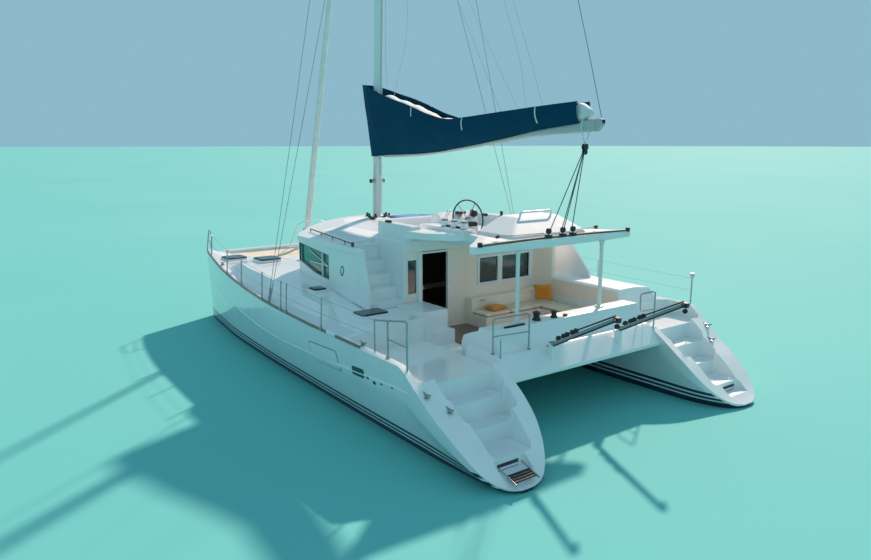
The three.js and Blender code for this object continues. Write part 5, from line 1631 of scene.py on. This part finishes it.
# Propellers
PROPELLER_X, PROPELLER_Z = -4.118, -0.9
HUB = [(0.066, 0.058), (0.07, 0.03), (0.062, -0.03), (0.045, -0.052), (0.0, -0.06)]


def blade(centre, spin):
    """A twisted blade that stands on the hub, rounded at its tip."""
    rings = []
    for s in range(9):
        t = s / 8
        thick = 0.006 * (1 - 0.6 * t)
        wide = 0.075 * math.sin(math.pi * (0.18 + 0.80 * t)) + 0.004
        twist = turned_about("Z", 0.95 - 0.45 * t)
        out = Vector((0, 0, 0.05 + 0.172 * t))
        ring = [twist @ Vector((thick * math.sin(a), wide * math.cos(a), 0)) for a in turns(12)]
        rings.append([centre + spin @ (p + out) for p in ring])
    return ring_grid(rings)


for label, side in SIDES:
    centre = Vector((PROPELLER_X, HULL_Y * side, PROPELLER_Z))
    parts = [turned(HUB, centre, (1, 0, 0), 24)]
    parts += [blade(centre, turned_about("X", a)) for a in turns(3)]
    piece(f"{label}_screw", parts, "bronze", f"{label}_propeller_body", angle=50,
          replaces=(f"{label}_propeller",))

# Tread panels on hulls, saloon roof and hardtop
BOW_TREAD = [(6.4, 2.98), (6.4, 2.86), (5.35, 2.62), (5.35, 3.05)]
ROOF_TREAD = [(1.25, 2.05), (1.25, 1.42), (-0.45, 1.42), (-0.45, 1.72), (-0.62, 1.72), (-0.62, 2.28)]
ROOF_TREAD_FORE = [(2.30, 0.85), (2.30, -0.85), (1.55, -1.25), (1.55, 1.25)]
HARDTOP_TREADS = {
    "port": [(-3.70, 1.06), (-3.80, 1.30), (-4.25, 1.62), (-4.25, 1.06)],
    "starboard": [(-3.70, -1.12), (-3.80, -1.36), (-4.25, -1.72), (-4.25, -1.12)],
}


def tread(name, corners, trees, radius):
    laid_panel(name, corners, trees, "nonskid", 0.003, radius, 0.2)


def to_side(corners, side):
    return [(x, side * y) for x, y in corners]


roof_trees = [tree_of(nodes["saloon_roof"]), tree_of(nodes["hardtop"])]
for label, side in SIDES:
    tree = [hull_trees[label]]
    outer = [(x, sheer(x)[0] - 0.10) for x in np.linspace(4.6, -2.8, 12)]
    inner = [(x, station(x)[3] + 0.02) for x in np.linspace(-2.8, 4.6, 12)]
    tread(f"{label}_side_tread", to_side(outer + inner, side), tree, 0.03)
    for i, (fore, aft, inside, outside, _) in enumerate(STEPS):
        corners = [(fore - 0.04, inside + 0.12), (fore - 0.04, outside - 0.12)]
        corners += [(aft + 0.05, outside - 0.14), (aft + 0.05, inside + 0.14)]
        tread(f"{label}_step_tread_{i}", to_side(corners, side), tree, 0.05)
    tread(f"{label}_bow_tread", to_side(BOW_TREAD, side), tree, 0.04)
for label, side in SIDES:
    tread(f"roof_tread_{label}", to_side(ROOF_TREAD, side), roof_trees, 0.05)
tread("roof_tread_fore", ROOF_TREAD_FORE, roof_trees, 0.05)
for label, corners in HARDTOP_TREADS.items():
    tread(f"hardtop_tread_{label}", corners, roof_trees, 0.05)
piece("cockpit_sole", [bar((-3.68, -1.93), (-1.38, 1.30), (1.101, 1.107))], "teak", bevel=0.001)

# CAD nodes that keep their shape. Columns: node, material, bevel
DRESS = [
    ("bridgedeck", "gelcoat", 0.03), ("aft_coaming", "gelcoat", 0.05), ("starboard_coaming", "gelcoat", 0.02),
    ("cockpit_settee", "cream", 0.02), ("saloon_walls", "gelcoat", 0.01), ("saloon_bulkhead", "cream", 0.01),
    ("saloon_windows", "green_glass", 0.002), ("bulkhead_window", "dark_glass", 0.002),
    ("saloon_door", "dark_glass", 0.006), ("saloon_roof", "gelcoat", 0.05), ("hardtop", "gelcoat", 0.05),
    ("helm_console", "gelcoat", 0.03), ("crossbeam", "spar", 0.004), ("traveller_track", "track", 0.006),
]
for label, side in SIDES:
    DRESS.append((f"{label}_drive", "iron", 0.01))
    DRESS.append((f"{label}_rudder", "antifouling", 0.006))
    DRESS.append((f"{label}_stairs", "gelcoat", 0.03))
for node, material, bevel in DRESS:
    dress(node, material, bevel)

# Studio
bpy.ops.mesh.primitive_plane_add(size=3000, location=(0, 0, 0))
floor = bpy.context.object
floor.name = "studio_floor"
floor_nodes = Nodes("studio_floor")
floor_nodes.link(
    floor_nodes.ramp(floor_nodes.noise(0.05, 2.0), [(0.3, (0.13, 0.52, 0.50)), (0.7, (0.15, 0.54, 0.52))]),
    floor_nodes.shader.inputs["Base Color"],
)
floor_nodes.set(Roughness=0.9)
floor.data.materials.append(floor_nodes.material)

world = bpy.data.worlds.new("studio")
bpy.context.scene.world = world
world.use_nodes = True
backdrop = world.node_tree.nodes["Background"]
backdrop.inputs["Color"].default_value = (0.37, 0.67, 0.82, 1)
backdrop.inputs["Strength"].default_value = 0.72
bpy.context.scene.view_settings.view_transform = "Standard"


def sun(name, toward, strength, angle, color):
    data = bpy.data.lights.new(name, "SUN")
    data.energy = strength
    data.angle = math.radians(angle)
    data.color = color
    lamp = bpy.data.objects.new(name, data)
    lamp.rotation_mode = "QUATERNION"
    lamp.rotation_quaternion = Vector(toward).to_track_quat("Z", "Y")
    bpy.context.scene.collection.objects.link(lamp)


sun("key", (0.45, -0.72, 0.62), 5.0, 2, (1.0, 0.74, 0.60))

bpy.context.view_layer.update()
